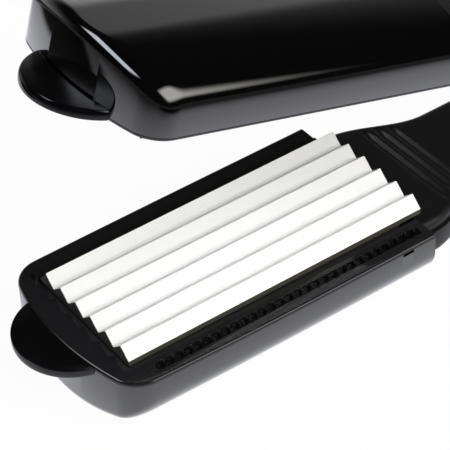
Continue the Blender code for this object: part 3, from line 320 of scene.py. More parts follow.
def bake(piece):
    """Replace the piece's mesh by the result of its modifiers."""
    graph = bpy.context.evaluated_depsgraph_get()
    mesh = bpy.data.meshes.new_from_object(piece.evaluated_get(graph))
    piece.modifiers.clear()
    piece.data = mesh


def cut(piece, cutters, place, operation="DIFFERENCE", sharp=32.0):
    """Cut closed bodies out of a piece, or add them to it."""
    helpers = []
    for number, body in enumerate(cutters):
        helper = make_piece(f"{piece.name}_cutter_{number}", body, place)
        step = piece.modifiers.new("cut", "BOOLEAN")
        step.object = helper
        step.operation = operation
        step.solver = "EXACT"
        helpers.append(helper)
    bake(piece)
    smooth(piece, sharp)
    for helper in helpers:
        bpy.data.objects.remove(helper, do_unlink=True)


def dress(piece, material, body, slot_name, *nodes):
    """Give the piece its material, hang it on its body and hide the imported solids it stands for.
    """
    piece.data.materials.clear()
    piece.data.materials.append(material)
    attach(piece, body)
    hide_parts(*nodes)


JAW_HALF_WIDTH = 27.8
JAW_FRONT = -8.15
JAW_REAR = 88.0
JAW_DEPTH = 16.7
JAW_CORNER = 8.4
JAW_WALL = 1.6
FRONT_BOW = 82.0
SIDE_BOW = 1.05                      # each side draws in by this much at the front end
SIDE_BOW_START = 62.7
RIM_RISE = 0.74                      # the rims bend towards each other by this much at the front
CROWN_RADIUS = 80.0
SIDE_FILLET = 6.0
FRONT_FILLET = 3.0
FOOT_Z = -16.4
SHELL_RIM = -0.98
TAB_NECK_HALF_WIDTH = 9.0
TAB_NECK = 3.0                       # length of the neck inside the shell's wall
TAB_WINDOW_FLOOR = -3.3
LATCH_NOTCH = (77.5, 80.9)
LATCH_NOTCH_DEPTH = 0.9
GAP = 0.3                            # play between parts that fit into each other


def front_reach(x):
    """Return 0 where the jaw runs straight and 1 at its front end."""
    return max(SIDE_BOW_START - x, 0.0) / (SIDE_BOW_START - JAW_FRONT)


def lift_rim(piece, place):
    """Bend the front of a jaw piece towards the other jaw, most at the rim."""
    back = place.inverted() @ Matrix.Scale(1.0 / MM, 4)
    for vertex in piece.data.vertices:
        point = back @ vertex.co
        point.z += RIM_RISE * front_reach(point.x) ** 2 * (1.0 + point.z / JAW_DEPTH)
        vertex.co = MM * (place @ point)


def jaw_edge(inset, side_steps=24, corner_steps=14, front_steps=24):
    """Return the jaw's plan edge as (x, y, turn), from the near rear round the front."""
    half = JAW_HALF_WIDTH - inset
    front = JAW_FRONT + inset
    corner = JAW_CORNER - inset
    bow = FRONT_BOW - inset
    bow_x = front + bow
    corner_y = half - corner
    corner_x = bow_x - math.sqrt((bow - corner) ** 2 - corner_y ** 2)
    bow_angle = math.asin(corner_y / (bow - corner))
    points = []
    for i in range(side_steps):
        points.append((JAW_REAR + (corner_x - JAW_REAR) * i / side_steps, -half, 0.0))
    for i in range(corner_steps):
        part = i / corner_steps
        angle = math.pi / 2 + (bow_angle - math.pi / 2) * part
        points.append((corner_x - corner * math.cos(angle),
                       -corner_y - corner * math.sin(angle), part))
    for i in range(front_steps + 1):
        angle = bow_angle * (1.0 - 2.0 * i / front_steps)
        points.append((bow_x - bow * math.cos(angle), -bow * math.sin(angle), 1.0))
    points = [(x, y * (1.0 - SIDE_BOW * front_reach(x) ** 2 / half), turn) for x, y, turn in points]
    mirrored = [(x, -y, turn) for x, y, turn in points[:side_steps + corner_steps]]
    return points + mirrored[::-1]


def jaw_outline(inset, rear=JAW_REAR):
    """Return the closed plan outline of the jaw, drawn in by inset."""
    points = [(min(x, rear), y) for x, y, turn in jaw_edge(inset)]
    points[0] = (rear, points[0][1])
    points[-1] = (rear, points[-1][1])
    return points[::-1]


def jaw_grid(inset, rim_rows, steps=12):
    """Return the shell's surface from the rim to the centre line."""
    half = JAW_HALF_WIDTH - inset
    depth = JAW_DEPTH - inset
    spine = JAW_FRONT + JAW_HALF_WIDTH
    grid = []
    for shrink, height in rim_rows:
        grid.append([(x, y, height) for x, y, turn in jaw_edge(inset + shrink)])
    for i in range(2 * steps + 1):
        row = []
        for x, y, turn in jaw_edge(inset):
            radius = ease(turn, 0.0, 1.0, SIDE_FILLET, FRONT_FILLET) - inset
            if i <= steps:
                angle = i / steps * math.pi / 2
                travel = radius * (1.0 - math.cos(angle)) / half
                lift = radius * (1.0 - math.sin(angle))
            else:
                travel = radius / half + (i - steps) / steps * (1.0 - radius / half)
                lift = 0.0
            px = x + (max(x, spine) - x) * travel
            py = y * (1.0 - travel)
            pz = -(depth - py * py / (2.0 * CROWN_RADIUS)) + lift
            row.append((px, py, max(pz, FOOT_Z + inset)))
        grid.append(row)
    return grid


def new_finish(name, size, detail, settings, tones=None, gloss=None, band=(0.0, 1.0), relief=None,
               stretch=None, swirl=0.0):
    """Return a material with a noise pattern of this size in mm.

    The pattern blends two tones, moves the roughness between the two values of gloss while it
    goes through its band, and raises a relief of (strength, height in mm).
    """
    material, tree = new_material(name)
    place = add_node(tree, "ShaderNodeTexCoord").outputs["Object"]
    if stretch:
        place = add_node(tree, "ShaderNodeMapping", {"Scale": stretch, "Vector": place})
    pattern = add_node(tree, "ShaderNodeTexNoise", {
        "Scale": 1.0 / (size * MM), "Detail": detail, "Distortion": swirl, "Vector": place})
    look = dict(settings)
    if tones:
        look["Base Color"] = add_node(tree, "ShaderNodeMixRGB", {
            0: pattern, 1: linear(tones[0]), 2: linear(tones[1])})
    if gloss:
        look["Roughness"] = add_node(tree, "ShaderNodeMapRange", {
            "From Min": band[0], "From Max": band[1], "To Min": gloss[0], "To Max": gloss[1],
            "Value": pattern})
    if relief:
        look["Normal"] = add_node(tree, "ShaderNodeBump", {
            "Strength": relief[0], "Distance": relief[1] * MM, "Height": pattern})
    shader = add_node(tree, "ShaderNodeBsdfPrincipled", look)
    add_node(tree, "ShaderNodeOutputMaterial", {"Surface": shader})
    return material


# Polished black ABS: deep, almost mirror gloss with a very faint flow waviness.
shell_material = new_finish("polished_black_abs", 9.0, 1.0,
                            {"Base Color": linear("#030303"), "IOR": 1.62, "Coat Weight": 1.0,
                             "Coat Roughness": 0.03, "Coat IOR": 1.75},
                            gloss=(0.035, 0.06), band=(0.3, 0.7), relief=(0.02, 0.1))

for side, place, body_name in HALVES:
    outer_rim = [(0.12, SHELL_RIM), (0.035, SHELL_RIM - 0.035), (0.0, SHELL_RIM - 0.12)]
    inner_rim = [(0.0, SHELL_RIM)] * len(outer_rim)
    walls = wall_body(jaw_grid(0.0, outer_rim), jaw_grid(JAW_WALL, inner_rim), fold_last=True)
    shell = make_piece(side + "_jaw_housing", walls, place)
    window_half = TAB_NECK_HALF_WIDTH + GAP
    tab_window = box_body((JAW_FRONT - 1.0, -window_half, TAB_WINDOW_FLOOR),
                          (JAW_FRONT + JAW_WALL + 2.0, window_half, 1.0))
    latch_notch = box_body((LATCH_NOTCH[0], -JAW_HALF_WIDTH - 1.0, SHELL_RIM - LATCH_NOTCH_DEPTH),
                           (LATCH_NOTCH[1], -JAW_HALF_WIDTH + 1.0, 1.0))
    cut(shell, [tab_window, latch_notch], place)
    lift_rim(shell, place)
    dress(shell, shell_material, body_name, "jaw_gloss", side + "_jaw_shell")

# ------------------------------------------------------------------ insert frames
# The frame that closes each jaw is a flat black moulding with a polished face and a round
# lip.  It clips into the shell, and a low rib with a groove behind it edges the plate.
LIP_HEIGHT = 0.9
SKIRT_DEPTH = 4.5
SKIRT_PLAY = 0.4                     # between the skirt and the inside of the shell
OPENING_HALF_WIDTH = 19.9
OPENING_FRONT = -0.4
OPENING_REAR = 83.6
SHELF_DEPTH = 2.4                    # the frame steps down behind the opening
RIB_WIDTH = 1.5
RIB_HEIGHT = 0.8
RIB_FRONT = -1.2
RIB_ROUND = 1.4
GUTTER_WIDTH = 0.9
GUTTER_DEPTH = 0.8
SLOT_HALF_WIDTH = 1.2
SLOT_DEPTH = 2.0
SLOT_FRONT = 5.0
GROOVE_REAR = JAW_REAR - 2.0         # slot and gutter end here
PIN_LINE = 23.7
NEARLY_SQUARE = 0.01
EDGE_ROUNDING = 0.24


def lane_outline(front, rear, low, high, near_round, far_round, steps=10):
    """Return a long outline along X whose front corners are round."""
    outline = [(rear, low), (rear, high)]
    for angle in quarter_arc(steps):
        outline.append((front + far_round * (1.0 - math.sin(angle)),
                        high - far_round * (1.0 - math.cos(angle))))
    for angle in reversed(quarter_arc(steps)):
        outline.append((front + near_round * (1.0 - math.sin(angle)),
                        low + near_round * (1.0 - math.cos(angle))))
    return outline


def lane_body(outline, low, high):
    """Return an upright body over an outline."""
    return stack_body([(outline, low), (outline, high)])


def soften(piece, width, segments, turn=35.0):
    """Round the piece's edges that turn by more than this many degrees."""
    step = piece.modifiers.new("rounding", "BEVEL")
    step.width = width * MM
    step.segments = segments
    step.limit_method = "ANGLE"
    step.angle_limit = math.radians(turn)
    step.miter_outer = "MITER_ARC"
    step.harden_normals = True
    bake(piece)


# Black heat resistant nylon from a polished tool: a near mirror gloss with faint flow marks.
# The base colour is dark grey rather than black: partly the nylon, partly a painted haze of
# reflected light.
frame_material = new_finish("polished_black_nylon", 7.0, 2.0,
                            {"Base Color": linear("#1f1f21"), "IOR": 1.6},
                            gloss=(0.05, 0.09), band=(0.3, 0.7), relief=(0.02, 0.1))

for side, place, body_name in HALVES:
    levels = [(jaw_outline(LIP_HEIGHT * (1.0 - math.cos(angle))),
               -LIP_HEIGHT * (1.0 - math.sin(angle))) for angle in quarter_arc(8)]
    lip = make_piece(side + "_jaw_frame", stack_body(levels), place)
    skirt = lane_body(jaw_outline(JAW_WALL + SKIRT_PLAY, JAW_REAR - 0.5),
                      -SKIRT_DEPTH, -LIP_HEIGHT / 2)
    cut(lip, [skirt], place, "UNION")
    rib_outer = OPENING_HALF_WIDTH + RIB_WIDTH
    rib = lane_outline(RIB_FRONT, JAW_REAR - 0.2, OPENING_HALF_WIDTH - 1.0, rib_outer,
                       NEARLY_SQUARE, RIB_ROUND)
    cut(lip, [lane_body(rib, -SLOT_DEPTH, RIB_HEIGHT)], place, "UNION")
    opening = box_body((OPENING_FRONT, -OPENING_HALF_WIDTH, -20.0),
                       (OPENING_REAR, OPENING_HALF_WIDTH, 10.0))
    shelf = box_body((OPENING_REAR - 1.6, -OPENING_HALF_WIDTH, -SHELF_DEPTH),
                     (JAW_REAR + 1.0, OPENING_HALF_WIDTH, 10.0))
    neck_half = TAB_NECK_HALF_WIDTH + GAP
    neck_room = box_body((JAW_FRONT, -neck_half, -SKIRT_DEPTH - 1.0),
                         (JAW_FRONT + JAW_WALL + TAB_NECK + GAP, neck_half, -LIP_HEIGHT))
    slot = lane_outline(SLOT_FRONT, GROOVE_REAR, -PIN_LINE - SLOT_HALF_WIDTH,
                        -PIN_LINE + SLOT_HALF_WIDTH, SLOT_HALF_WIDTH, SLOT_HALF_WIDTH)
    gutter = lane_outline(RIB_FRONT, GROOVE_REAR, rib_outer, rib_outer + GUTTER_WIDTH,
                          NEARLY_SQUARE, 0.8)
    cut(lip, [opening, shelf, neck_room, lane_body(slot, -SLOT_DEPTH, 4.0),
              lane_body(gutter, -GUTTER_DEPTH, 4.0)], place)
    soften(lip, EDGE_ROUNDING, 3)
    lift_rim(lip, place)
    dress(lip, frame_material, body_name, "frame_plastic", side + "_insert_frame")

# ------------------------------------------------------------------ comb strips
# A strip with a row of blunt pins is pressed into the frame's slot and lies flush in it.
# The pins keep the hair off the rim.  They are made by Geometry Nodes along the strip.
PIN_COUNT = 29
PIN_PITCH = 2.75
PIN_RADIUS = 0.55
PIN_TOP = 1.6
PIN_FOOT = -0.85
FIRST_PIN = SLOT_FRONT + 1.9
PIN_DOME = ((0.77, 1.0), (0.84, 0.95), (0.91, 0.79), (0.965, 0.52))     # height share, width share
PIN_TIP_WIDTH = 0.12


def new_tree(name, sizes):
    """Return a Geometry Nodes tree with a geometry input and named number inputs."""
    tree = bpy.data.node_groups.new(name, "GeometryNodeTree")
    tree.interface.new_socket("Geometry", in_out="INPUT", socket_type="NodeSocketGeometry")
    for size in sizes:
        kind = "NodeSocketInt" if isinstance(sizes[size], int) else "NodeSocketFloat"
        tree.interface.new_socket(size, in_out="INPUT", socket_type=kind)
    tree.interface.new_socket("Geometry", in_out="OUTPUT", socket_type="NodeSocketGeometry")
    return tree


def end_tree(tree, output, material):
    """End the tree in real geometry with this material."""
    real = add_node(tree, "GeometryNodeRealizeInstances", {"Geometry": output})
    finished = add_node(tree, "GeometryNodeSetMaterial", {"Material": material, "Geometry": real})
    add_node(tree, "NodeGroupOutput", {"Geometry": finished})


def run_tree(piece, tree, sizes, place, sharp):
    """Run the tree on the piece with these sizes, keep the plain mesh and put it in its jaw."""
    step = piece.modifiers.new(tree.name, "NODES")
    step.node_group = tree
    for socket in tree.interface.items_tree:
        if socket.in_out == "INPUT" and socket.name in sizes:
            step[socket.identifier] = sizes[socket.name]
    bake(piece)
    piece.data.transform(Matrix.Scale(MM, 4) @ place @ Matrix.Scale(1.0 / MM, 4))
    smooth(piece, sharp)


# Soft black nylon, dyed through: darker and duller than the polished face around it.
pin_material = new_finish("dull_black_nylon", 0.6, 2.0,
                          {"Base Color": linear("#040404"), "IOR": 1.45}, gloss=(0.22, 0.34))

comb_sizes = {"Pin count": PIN_COUNT, "Pin pitch": PIN_PITCH * MM, "Pin radius": PIN_RADIUS * MM,
              "Pin height": (PIN_TOP - PIN_FOOT) * MM, "First pin": FIRST_PIN * MM,
              "Pin line": -PIN_LINE * MM, "Pin foot": PIN_FOOT * MM}
comb_tree = new_tree("comb_pins", comb_sizes)
given = add_node(comb_tree, "NodeGroupInput")
start = add_node(comb_tree, "ShaderNodeCombineXYZ", {
    "X": given.outputs["First pin"], "Y": given.outputs["Pin line"],
    "Z": given.outputs["Pin foot"]})
stride = add_node(comb_tree, "ShaderNodeCombineXYZ", {"X": given.outputs["Pin pitch"]})
row = add_node(comb_tree, "GeometryNodeMeshLine", {
    "Count": given.outputs["Pin count"], "Start Location": start, "Offset": stride})
upright = add_node(comb_tree, "ShaderNodeCombineXYZ", {"Z": given.outputs["Pin height"]})
stem = add_node(comb_tree, "GeometryNodeCurvePrimitiveLine", {"End": upright})
dense = add_node(comb_tree, "GeometryNodeResampleCurve", {"Count": 26, "Curve": stem})
along = add_node(comb_tree, "GeometryNodeSplineParameter")
dome = add_node(comb_tree, "ShaderNodeFloatCurve", {"Value": along.outputs["Factor"]})
dome_curve = dome.mapping.curves[0]
dome_curve.points[0].location = (0.0, 1.0)
dome_curve.points[1].location = (1.0, PIN_TIP_WIDTH)
for height, width in PIN_DOME:
    dome_curve.points.new(height, width)
dome.mapping.update()
ring = add_node(comb_tree, "GeometryNodeCurvePrimitiveCircle", {
    "Resolution": 12, "Radius": given.outputs["Pin radius"]})
pin = add_node(comb_tree, "GeometryNodeCurveToMesh", {
    "Fill Caps": True, "Curve": dense, "Profile Curve": ring, "Scale": dome})
pins = add_node(comb_tree, "GeometryNodeInstanceOnPoints", {"Points": row, "Instance": pin})
joined = add_node(comb_tree, "GeometryNodeJoinGeometry")
comb_tree.links.new(pins.outputs[0], joined.inputs[0])
comb_tree.links.new(given.outputs["Geometry"], joined.inputs[0])
end_tree(comb_tree, joined, pin_material)

for side, place, body_name in HALVES:
    strip_half = SLOT_HALF_WIDTH - GAP
    strip = lane_outline(SLOT_FRONT + GAP, GROOVE_REAR - GAP, -PIN_LINE - strip_half,
                         -PIN_LINE + strip_half, strip_half, strip_half)
    comb = make_piece(side + "_comb", lane_body(strip, -SLOT_DEPTH + GAP, -0.1), Matrix.Identity(4))
    run_tree(comb, comb_tree, comb_sizes, place, 40.0)
    lift_rim(comb, place)
    dress(comb, pin_material, body_name, "frame_plastic", side + "_comb_strip")

# ------------------------------------------------------------------ crimp plates
# The plates are extruded aluminium with a rounded zigzag, coated with white ceramic.
# The coat is smooth, bright and slightly soft in its gloss, with a hint of draw lines.
PLATE_LENGTH = 90.0
CREST_COUNT = 6
CREST_PITCH = 6.5
CREST_DEPTH = 2.9
CREST_HEIGHT = 5.0
PLATE_UNDERSIDE = 0.6
CREST_ROUNDING = 0.2
PLATE_FLANGE = 0.7
CREST_TRIM = 1.0
PLATE_TAPER_REACH = 20.0             # the rounded ends shrink towards the plate's middle line
SHADED_BARE_FACE = 0.85                     # a face that looks this much sideways or lengthwise is bare, and painted dark as shade


def zigzag(shift):
    """Return the plate's section as (y, z), with small arcs at crests and valleys.

    The teeth end half a pitch before the far edge, which leaves a thin flange there.
    """
    half = CREST_COUNT * CREST_PITCH / 2
    middle = CREST_HEIGHT - CREST_DEPTH / 2
    flange = PLATE_UNDERSIDE + PLATE_FLANGE
    steepness = CREST_DEPTH / (CREST_PITCH / 2)
    slope = math.atan(steepness)
    lift = CREST_ROUNDING / math.cos(slope)
    last = 2 * CREST_COUNT - 1
    points = []
    for i in range(last + 1):
        y = -half + i * CREST_PITCH / 2
        up = 1.0 if (i % 2 == 1) != shift else -1.0
        z = middle + up * CREST_DEPTH / 2
        if i == 0 and up > 0:
            points += [(y, flange), (y + CREST_TRIM, flange),
                       (y + CREST_TRIM, z - CREST_TRIM * steepness)]
        elif i in (0, last):
            points.append((y, z))
        else:
            for k in range(-3, 4):
                angle = slope * k / 3
                points.append((y + CREST_ROUNDING * math.sin(angle),
                               z - up * (lift - CREST_ROUNDING * math.cos(angle))))
    points += [(points[-1][0], flange), (half, flange)]
    section = [(-half, PLATE_UNDERSIDE)] + points + [(half, PLATE_UNDERSIDE)]
    if shift:
        section = [(-y, z) for y, z in section[::-1]]
    return section


# White fired ceramic coat, with a fine lengthwise grain of about 0.5 mm.
plate_material = new_finish("white_ceramic_coat", 0.5, 2.0, {"Roughness": 0.32, "IOR": 1.5},
                            tones=("#f6f6f4", "#fcfcfb"), relief=(0.06, 0.02),
                            stretch=(0.02, 1.0, 1.0))

# Bare aluminium at the sawn ends, side walls and flange: dull, in a dark brown grey that on the
# ends and sides is painted shade, with saw marks 0.4 mm apart.
shaded_bare_material = new_finish("bare_aluminium_painted_shade", 0.4, 2.0, {"Roughness": 0.5, "IOR": 1.5},
                           tones=("#4a4940", "#3b3a33"))

for side, place, body_name in HALVES:
    section = zigzag(side == "upper")[::-1]
    bands = [(0.25, 0.0), (0.07, 0.07), (0.0, 0.25)]
    bands += [(shrink, PLATE_LENGTH - x) for shrink, x in bands[::-1]]
    outlines = [[(x, y * (1.0 - shrink / PLATE_TAPER_REACH), z - shrink * (z > PLATE_UNDERSIDE))
                 for y, z in section] for shrink, x in bands]
    plate = make_piece(side + "_ceramic_plate", ring_body(outlines), place, 24.0)
    dress(plate, plate_material, body_name, "plate_coated", side + "_crimp_plate")
    # Ends, sides and flange take the dark bare finish, which on the ends and sides is painted
    # shade.
    plate.data.materials.append(shaded_bare_material)
    back = place.inverted()
    for face in plate.data.polygons:
        normal = back.to_3x3() @ face.normal
        height = (back @ (face.center / MM)).z
        sideways = max(abs(normal.x), abs(normal.y)) > SHADED_BARE_FACE
        if sideways or height < PLATE_UNDERSIDE + PLATE_FLANGE + 0.05:
            face.material_index = 1

# ------------------------------------------------------------------ cool tips
# The thumb tab at the tip stays cool.  It is a separate black moulding whose neck is
# trapped between the shell and the insert frame, with its lower edge rolled round.
TAB_RADIUS = 15.17
TAB_MIDDLE = -3.13
TAB_TOP = -0.2
TAB_THICKNESS = 2.5
TAB_GAP = 0.08                       # between tab and shell


def circle(radius, count, x=0.0, y=0.0):
    """Return the points of a circle about a middle."""
    turns = [2 * math.pi * i / count for i in range(count)]
    return [(x + radius * math.cos(turn), y + radius * math.sin(turn)) for turn in turns]


# Black heat resistant polyamide: a fine etched, dull face and a polished edge that mirrors the
# table.
tip_material, tree = new_material("etched_black_polyamide")
where = add_node(tree, "ShaderNodeTexCoord")
etch = add_node(tree, "ShaderNodeTexNoise", {
    "Scale": 1.0 / (0.3 * MM), "Detail": 3.0, "Vector": where.outputs["Object"]})
looks_along = add_node(tree, "ShaderNodeVectorMath", {
    "operation": "ABSOLUTE", 0: where.outputs["Normal"]})
parts = add_node(tree, "ShaderNodeSeparateXYZ", {0: looks_along})
on_face = add_node(tree, "ShaderNodeMapRange", {
    "From Min": 0.75, "From Max": 0.9, "Value": parts.outputs["Z"]})
bite = add_node(tree, "ShaderNodeMath", {"operation": "MULTIPLY", 0: etch, 1: on_face})
pits = add_node(tree, "ShaderNodeBump", {"Strength": 0.1, "Distance": 0.04 * MM, "Height": bite})
matt = add_node(tree, "ShaderNodeMapRange", {"To Min": 0.07, "To Max": 0.22, "Value": on_face})
tip_shader = add_node(tree, "ShaderNodeBsdfPrincipled", {
    "Base Color": linear("#08080a"), "IOR": 1.5, "Roughness": matt, "Normal": pits})
add_node(tree, "ShaderNodeOutputMaterial", {"Surface": tip_shader})

for side, place, body_name in HALVES:
    low = TAB_TOP - TAB_THICKNESS
    rolled_edge = ((-0.9, low), (-0.35, low + 0.18), (-0.1, low + 0.5), (0.0, low + 0.9),
                   (0.0, TAB_TOP - 0.35), (-0.1, TAB_TOP - 0.1), (-0.35, TAB_TOP))
    levels = [(circle(TAB_RADIUS + inset, 128, TAB_MIDDLE), z) for inset, z in rolled_edge]
    tab = make_piece(side + "_cool_tab", stack_body(levels), place)
    cut(tab, [lane_body(jaw_outline(-TAB_GAP), -10.0, 10.0)], place)
    neck = box_body((JAW_FRONT - 1.2, -TAB_NECK_HALF_WIDTH, low + 0.2),
                    (JAW_FRONT + JAW_WALL + TAB_NECK, TAB_NECK_HALF_WIDTH, SHELL_RIM))
    cut(tab, [neck], place, "UNION")
    lift_rim(tab, place)
    dress(tab, tip_material, body_name, "tip_plastic", side + "_cool_tip")

# ------------------------------------------------------------------ arm shells
# Each arm's outer shell is a satin black moulding that slides into the jaw shell with a
# short tongue, narrows to the handle and carries its half of the hinge.
ARM_WALL = 2.0
ARM_START = JAW_REAR + GAP
ARM_TONGUE = 6.0                     # length that slides into the jaw shell
TONGUE_RIM = -6.4
TONGUE_SIDE_PLAY = 3.3
TONGUE_FLOOR_PLAY = 1.1
TONGUE_FILLET = 5.5
SHOULDER_START, SHOULDER_END = 92.0, 118.0
SHOULDER_HALF_WIDTH = 23.3
HANDLE_HALF_WIDTH = 15.0
SHOULDER_FILLET, HANDLE_FILLET = 3.2, 7.5
FRONT_DEPTH, MID_DEPTH, FOOT_DROP = 15.6, 13.5, 3.2
MID_START, FOOT_BLEND, FOOT_START = 140.0, 175.0, 212.0
ARM_RISE = (130.0, 190.0)            # rim and cover rise towards the hinge between these places
RIM_FRONT, RIM_REAR = -4.2, -1.0
COVER_FRONT, COVER_REAR = -1.0, 1.6
ARM_REAR_DEPTH = 16.7
LOWER_ARM_END = 243.0
UPPER_ARM_END = 210.0
REAR_SHAPE = {"lower": (LOWER_ARM_END, 9.0, 0.42),      # end, rounding, draw as a share of width
              "upper": (UPPER_ARM_END, 7.0, 0.327)}
REAR_LIFT = 0.35
BOSS_RADIUS = 3.0
SCREW_BORE = 1.5
COVER_SCREWS = (136.0, 188.0)
COVER_WALL = 1.6
BARREL_RADIUS = 6.4
PIN_HOLE_RADIUS = 2.3
KNUCKLE_INNER = 4.8
KNUCKLE_OUTER = 9.1
EAR_INNER = 9.5
EAR_OUTER = 13.6
EAR_LIFT = 4.2                       # the ear's foot above the arm's floor
SWITCH_X = 150.0
SWITCH_WINDOW = (-3.05, 7.05, 1.7)   # start, end and half width round the switch's middle
LAMP_X = 168.0
LAMP_HOLE_RADIUS = 1.9
GLAND_HEIGHT = -7.2
GLAND_HOLE_RADIUS = 4.5


def arm_half_width(x):
    """Half width of the arm's outer shell."""
    return ease(x, SHOULDER_START, SHOULDER_END, SHOULDER_HALF_WIDTH, HANDLE_HALF_WIDTH)


def arm_depth(x):
    """Depth of the arm's outer face under the rim plane."""
    depth = ease(x, SHOULDER_START, MID_START, FRONT_DEPTH, MID_DEPTH)
    return depth + ease(x, FOOT_BLEND, FOOT_START, 0.0, FOOT_DROP)


def arm_rim(x):
    """Height of the arm shell's rim."""
    return ease(x, *ARM_RISE, RIM_FRONT, RIM_REAR)


def cover_top(x):
    """Height of the inner cover."""
    return ease(x, *ARM_RISE, COVER_FRONT, COVER_REAR)


def arm_fillet(x):
    """Radius between the arm's side and its outer face."""
    return ease(x, SHOULDER_START, 125.0, SHOULDER_FILLET, HANDLE_FILLET)


def arm_section(x, half, rim, depth, fillet, inset, steps=9):
    """Return one U-shaped section of the arm shell, rim to rim."""
    half -= inset
    depth -= inset
    radius = max(fillet - inset, 0.6)
    edge = 0.0 if inset else 0.3

    def floor(y):
        return -(depth - y * y / (2.0 * CROWN_RADIUS))

    side = [(x, -half + edge, rim), (x, -half + edge * 0.3, rim - edge * 0.3),
            (x, -half, rim - edge)]
    for angle in quarter_arc(steps):
        y = half - radius * (1.0 - math.cos(angle))
        side.append((x, -y, max(floor(y) + radius * (1.0 - math.sin(angle)), FOOT_Z + inset)))
    for part in (0.75, 0.5, 0.25):
        y = (half - radius) * part
        side.append((x, -y, max(floor(y), FOOT_Z + inset)))
    middle = [(x, 0.0, max(-depth, FOOT_Z + inset))]
    return side + middle + [(x, -y, z) for x, y, z in side[::-1]]


def stations(first, last, step=2.0):
    """Return evenly spaced places from first to last."""
    count = max(int(round((last - first) / step)), 1)
    return [first + (last - first) * i / count for i in range(count + 1)]


def upright_body(x, y, profile, count=32):
    """Return a round body about an upright line, from (radius, z) pairs given bottom to top."""
    return stack_body([(circle(radius, count, x, y), z) for radius, z in profile])


def across_body(outline, low, high):
    """Return an (x, z) outline pulled along Y."""
    return ring_body([[(x, y, z) for x, z in outline] for y in (low, high)])


def lengthwise_body(profile, height, count, looped=False):
    """Return a round body along X at a height, from (radius, x) pairs."""
    return ring_body([[(x, y, z) for y, z in circle(radius, count, 0.0, height)]
                      for radius, x in profile], looped)


# Satin black ABS with a fine spark-eroded grain of about 0.35 mm, drawn a little coarser to show.
arm_material, tree = new_material("grained_black_abs")
where = add_node(tree, "ShaderNodeTexCoord")
grain = add_node(tree, "ShaderNodeTexNoise", {
    "Scale": 1.0 / (0.45 * MM), "Detail": 3.0, "Vector": where.outputs["Object"]})
wear = add_node(tree, "ShaderNodeTexNoise", {
    "Scale": 1.0 / (18.0 * MM), "Detail": 3.0, "Vector": where.outputs["Object"]})
grit = add_node(tree, "ShaderNodeBump", {"Strength": 0.25, "Distance": 0.04 * MM, "Height": grain})
dull = add_node(tree, "ShaderNodeMapRange", {"To Min": 0.36, "To Max": 0.48, "Value": wear})
arm_shader = add_node(tree, "ShaderNodeBsdfPrincipled", {
    "Base Color": linear("#131314"), "IOR": 1.5, "Roughness": dull, "Normal": grit})
add_node(tree, "ShaderNodeOutputMaterial", {"Surface": arm_shader})

for side, place, body_name in HALVES:
    end, rear_round, rear_draw = REAR_SHAPE[side]
    outer, inner = [], []
    for x in (ARM_START - ARM_TONGUE, ARM_START):
        tongue = (x, JAW_HALF_WIDTH - JAW_WALL - TONGUE_SIDE_PLAY, TONGUE_RIM,
                  JAW_DEPTH - JAW_WALL - TONGUE_FLOOR_PLAY, TONGUE_FILLET)
        outer.append(arm_section(*tongue, 0.0))
        inner.append(arm_section(*tongue, ARM_WALL))
    for x in stations(ARM_START, end - rear_round - 1.0):
        row = (arm_half_width(x), arm_rim(x), arm_depth(x), arm_fillet(x))
        outer.append(arm_section(x, *row, 0.0))
        inner.append(arm_section(x + 1.5 if x == ARM_START else x, *row, ARM_WALL))
    for angle in quarter_arc(12):
        for grid, inset in ((outer, 0.0), (inner, ARM_WALL)):
            radius = rear_round - inset
            x = end - inset - radius * (1.0 - math.sin(angle))
            width = HANDLE_HALF_WIDTH * (1.0 - rear_draw * (1.0 - math.cos(angle)))
            depth = arm_depth(x) - REAR_LIFT * radius * (1.0 - math.cos(angle))
            grid.append(arm_section(x, width, arm_rim(x), depth, arm_fillet(x), inset))
    shell = make_piece(side + "_handle_shell", wall_body(outer, inner, cap_last=True), place)
    added, taken = [], []
    for x in COVER_SCREWS:
        boss_top = cover_top(x) - 4.1
        added.append(upright_body(x, 0.0, ((BOSS_RADIUS, -arm_depth(x) + ARM_WALL / 2),
                                           (BOSS_RADIUS, boss_top))))
        taken.append(upright_body(x, 0.0, ((SCREW_BORE, boss_top - 5.3),
                                           (SCREW_BORE, boss_top + 1.0))))
    if side == "lower":
        axis_z = HINGE_Z
        reach = (EAR_INNER, EAR_OUTER)
        foot = -ARM_REAR_DEPTH + ARM_WALL + EAR_LIFT
        barrel = [(HINGE_X - BARREL_RADIUS, foot), (HINGE_X + BARREL_RADIUS, foot)]
        turns = [math.pi * i / 32 for i in range(33)]
    else:
        axis_z = 2.0 * MATING_HEIGHT - HINGE_Z
        reach = (KNUCKLE_INNER, KNUCKLE_OUTER)
        barrel = [(UPPER_ARM_END - 1.0, -11.5), (UPPER_ARM_END - 1.0, -3.0)]
        turns = [math.radians(118) - math.radians(236) * i / 32 for i in range(33)]
    barrel += [(HINGE_X + BARREL_RADIUS * math.cos(turn), axis_z + BARREL_RADIUS * math.sin(turn))
               for turn in turns]
    added += [across_body(barrel, -reach[1], -reach[0]), across_body(barrel, *reach)]
    taken.append(across_body(circle(PIN_HOLE_RADIUS, 48, HINGE_X, axis_z), -30.0, 30.0))
    if side == "lower":
        taken.append(lengthwise_body(((GLAND_HOLE_RADIUS, LOWER_ARM_END - 7.0),
                                      (GLAND_HOLE_RADIUS, LOWER_ARM_END + 2.0)), GLAND_HEIGHT, 40))
    else:
        arm_back = -arm_depth(SWITCH_X)
        start, stop, half = SWITCH_WINDOW
        taken.append(box_body((SWITCH_X + start, -half, arm_back - 3.0),
                              (SWITCH_X + stop, half, arm_back + 6.0)))
        taken.append(upright_body(LAMP_X, 0.0, ((LAMP_HOLE_RADIUS, arm_back - 2.0),
                                                (LAMP_HOLE_RADIUS, arm_back + 6.0))))
    cut(shell, added, place, "UNION")
    cut(shell, taken, place, sharp=30.0)
    dress(shell, arm_material, body_name, "arm_plastic", side + "_arm_shell")

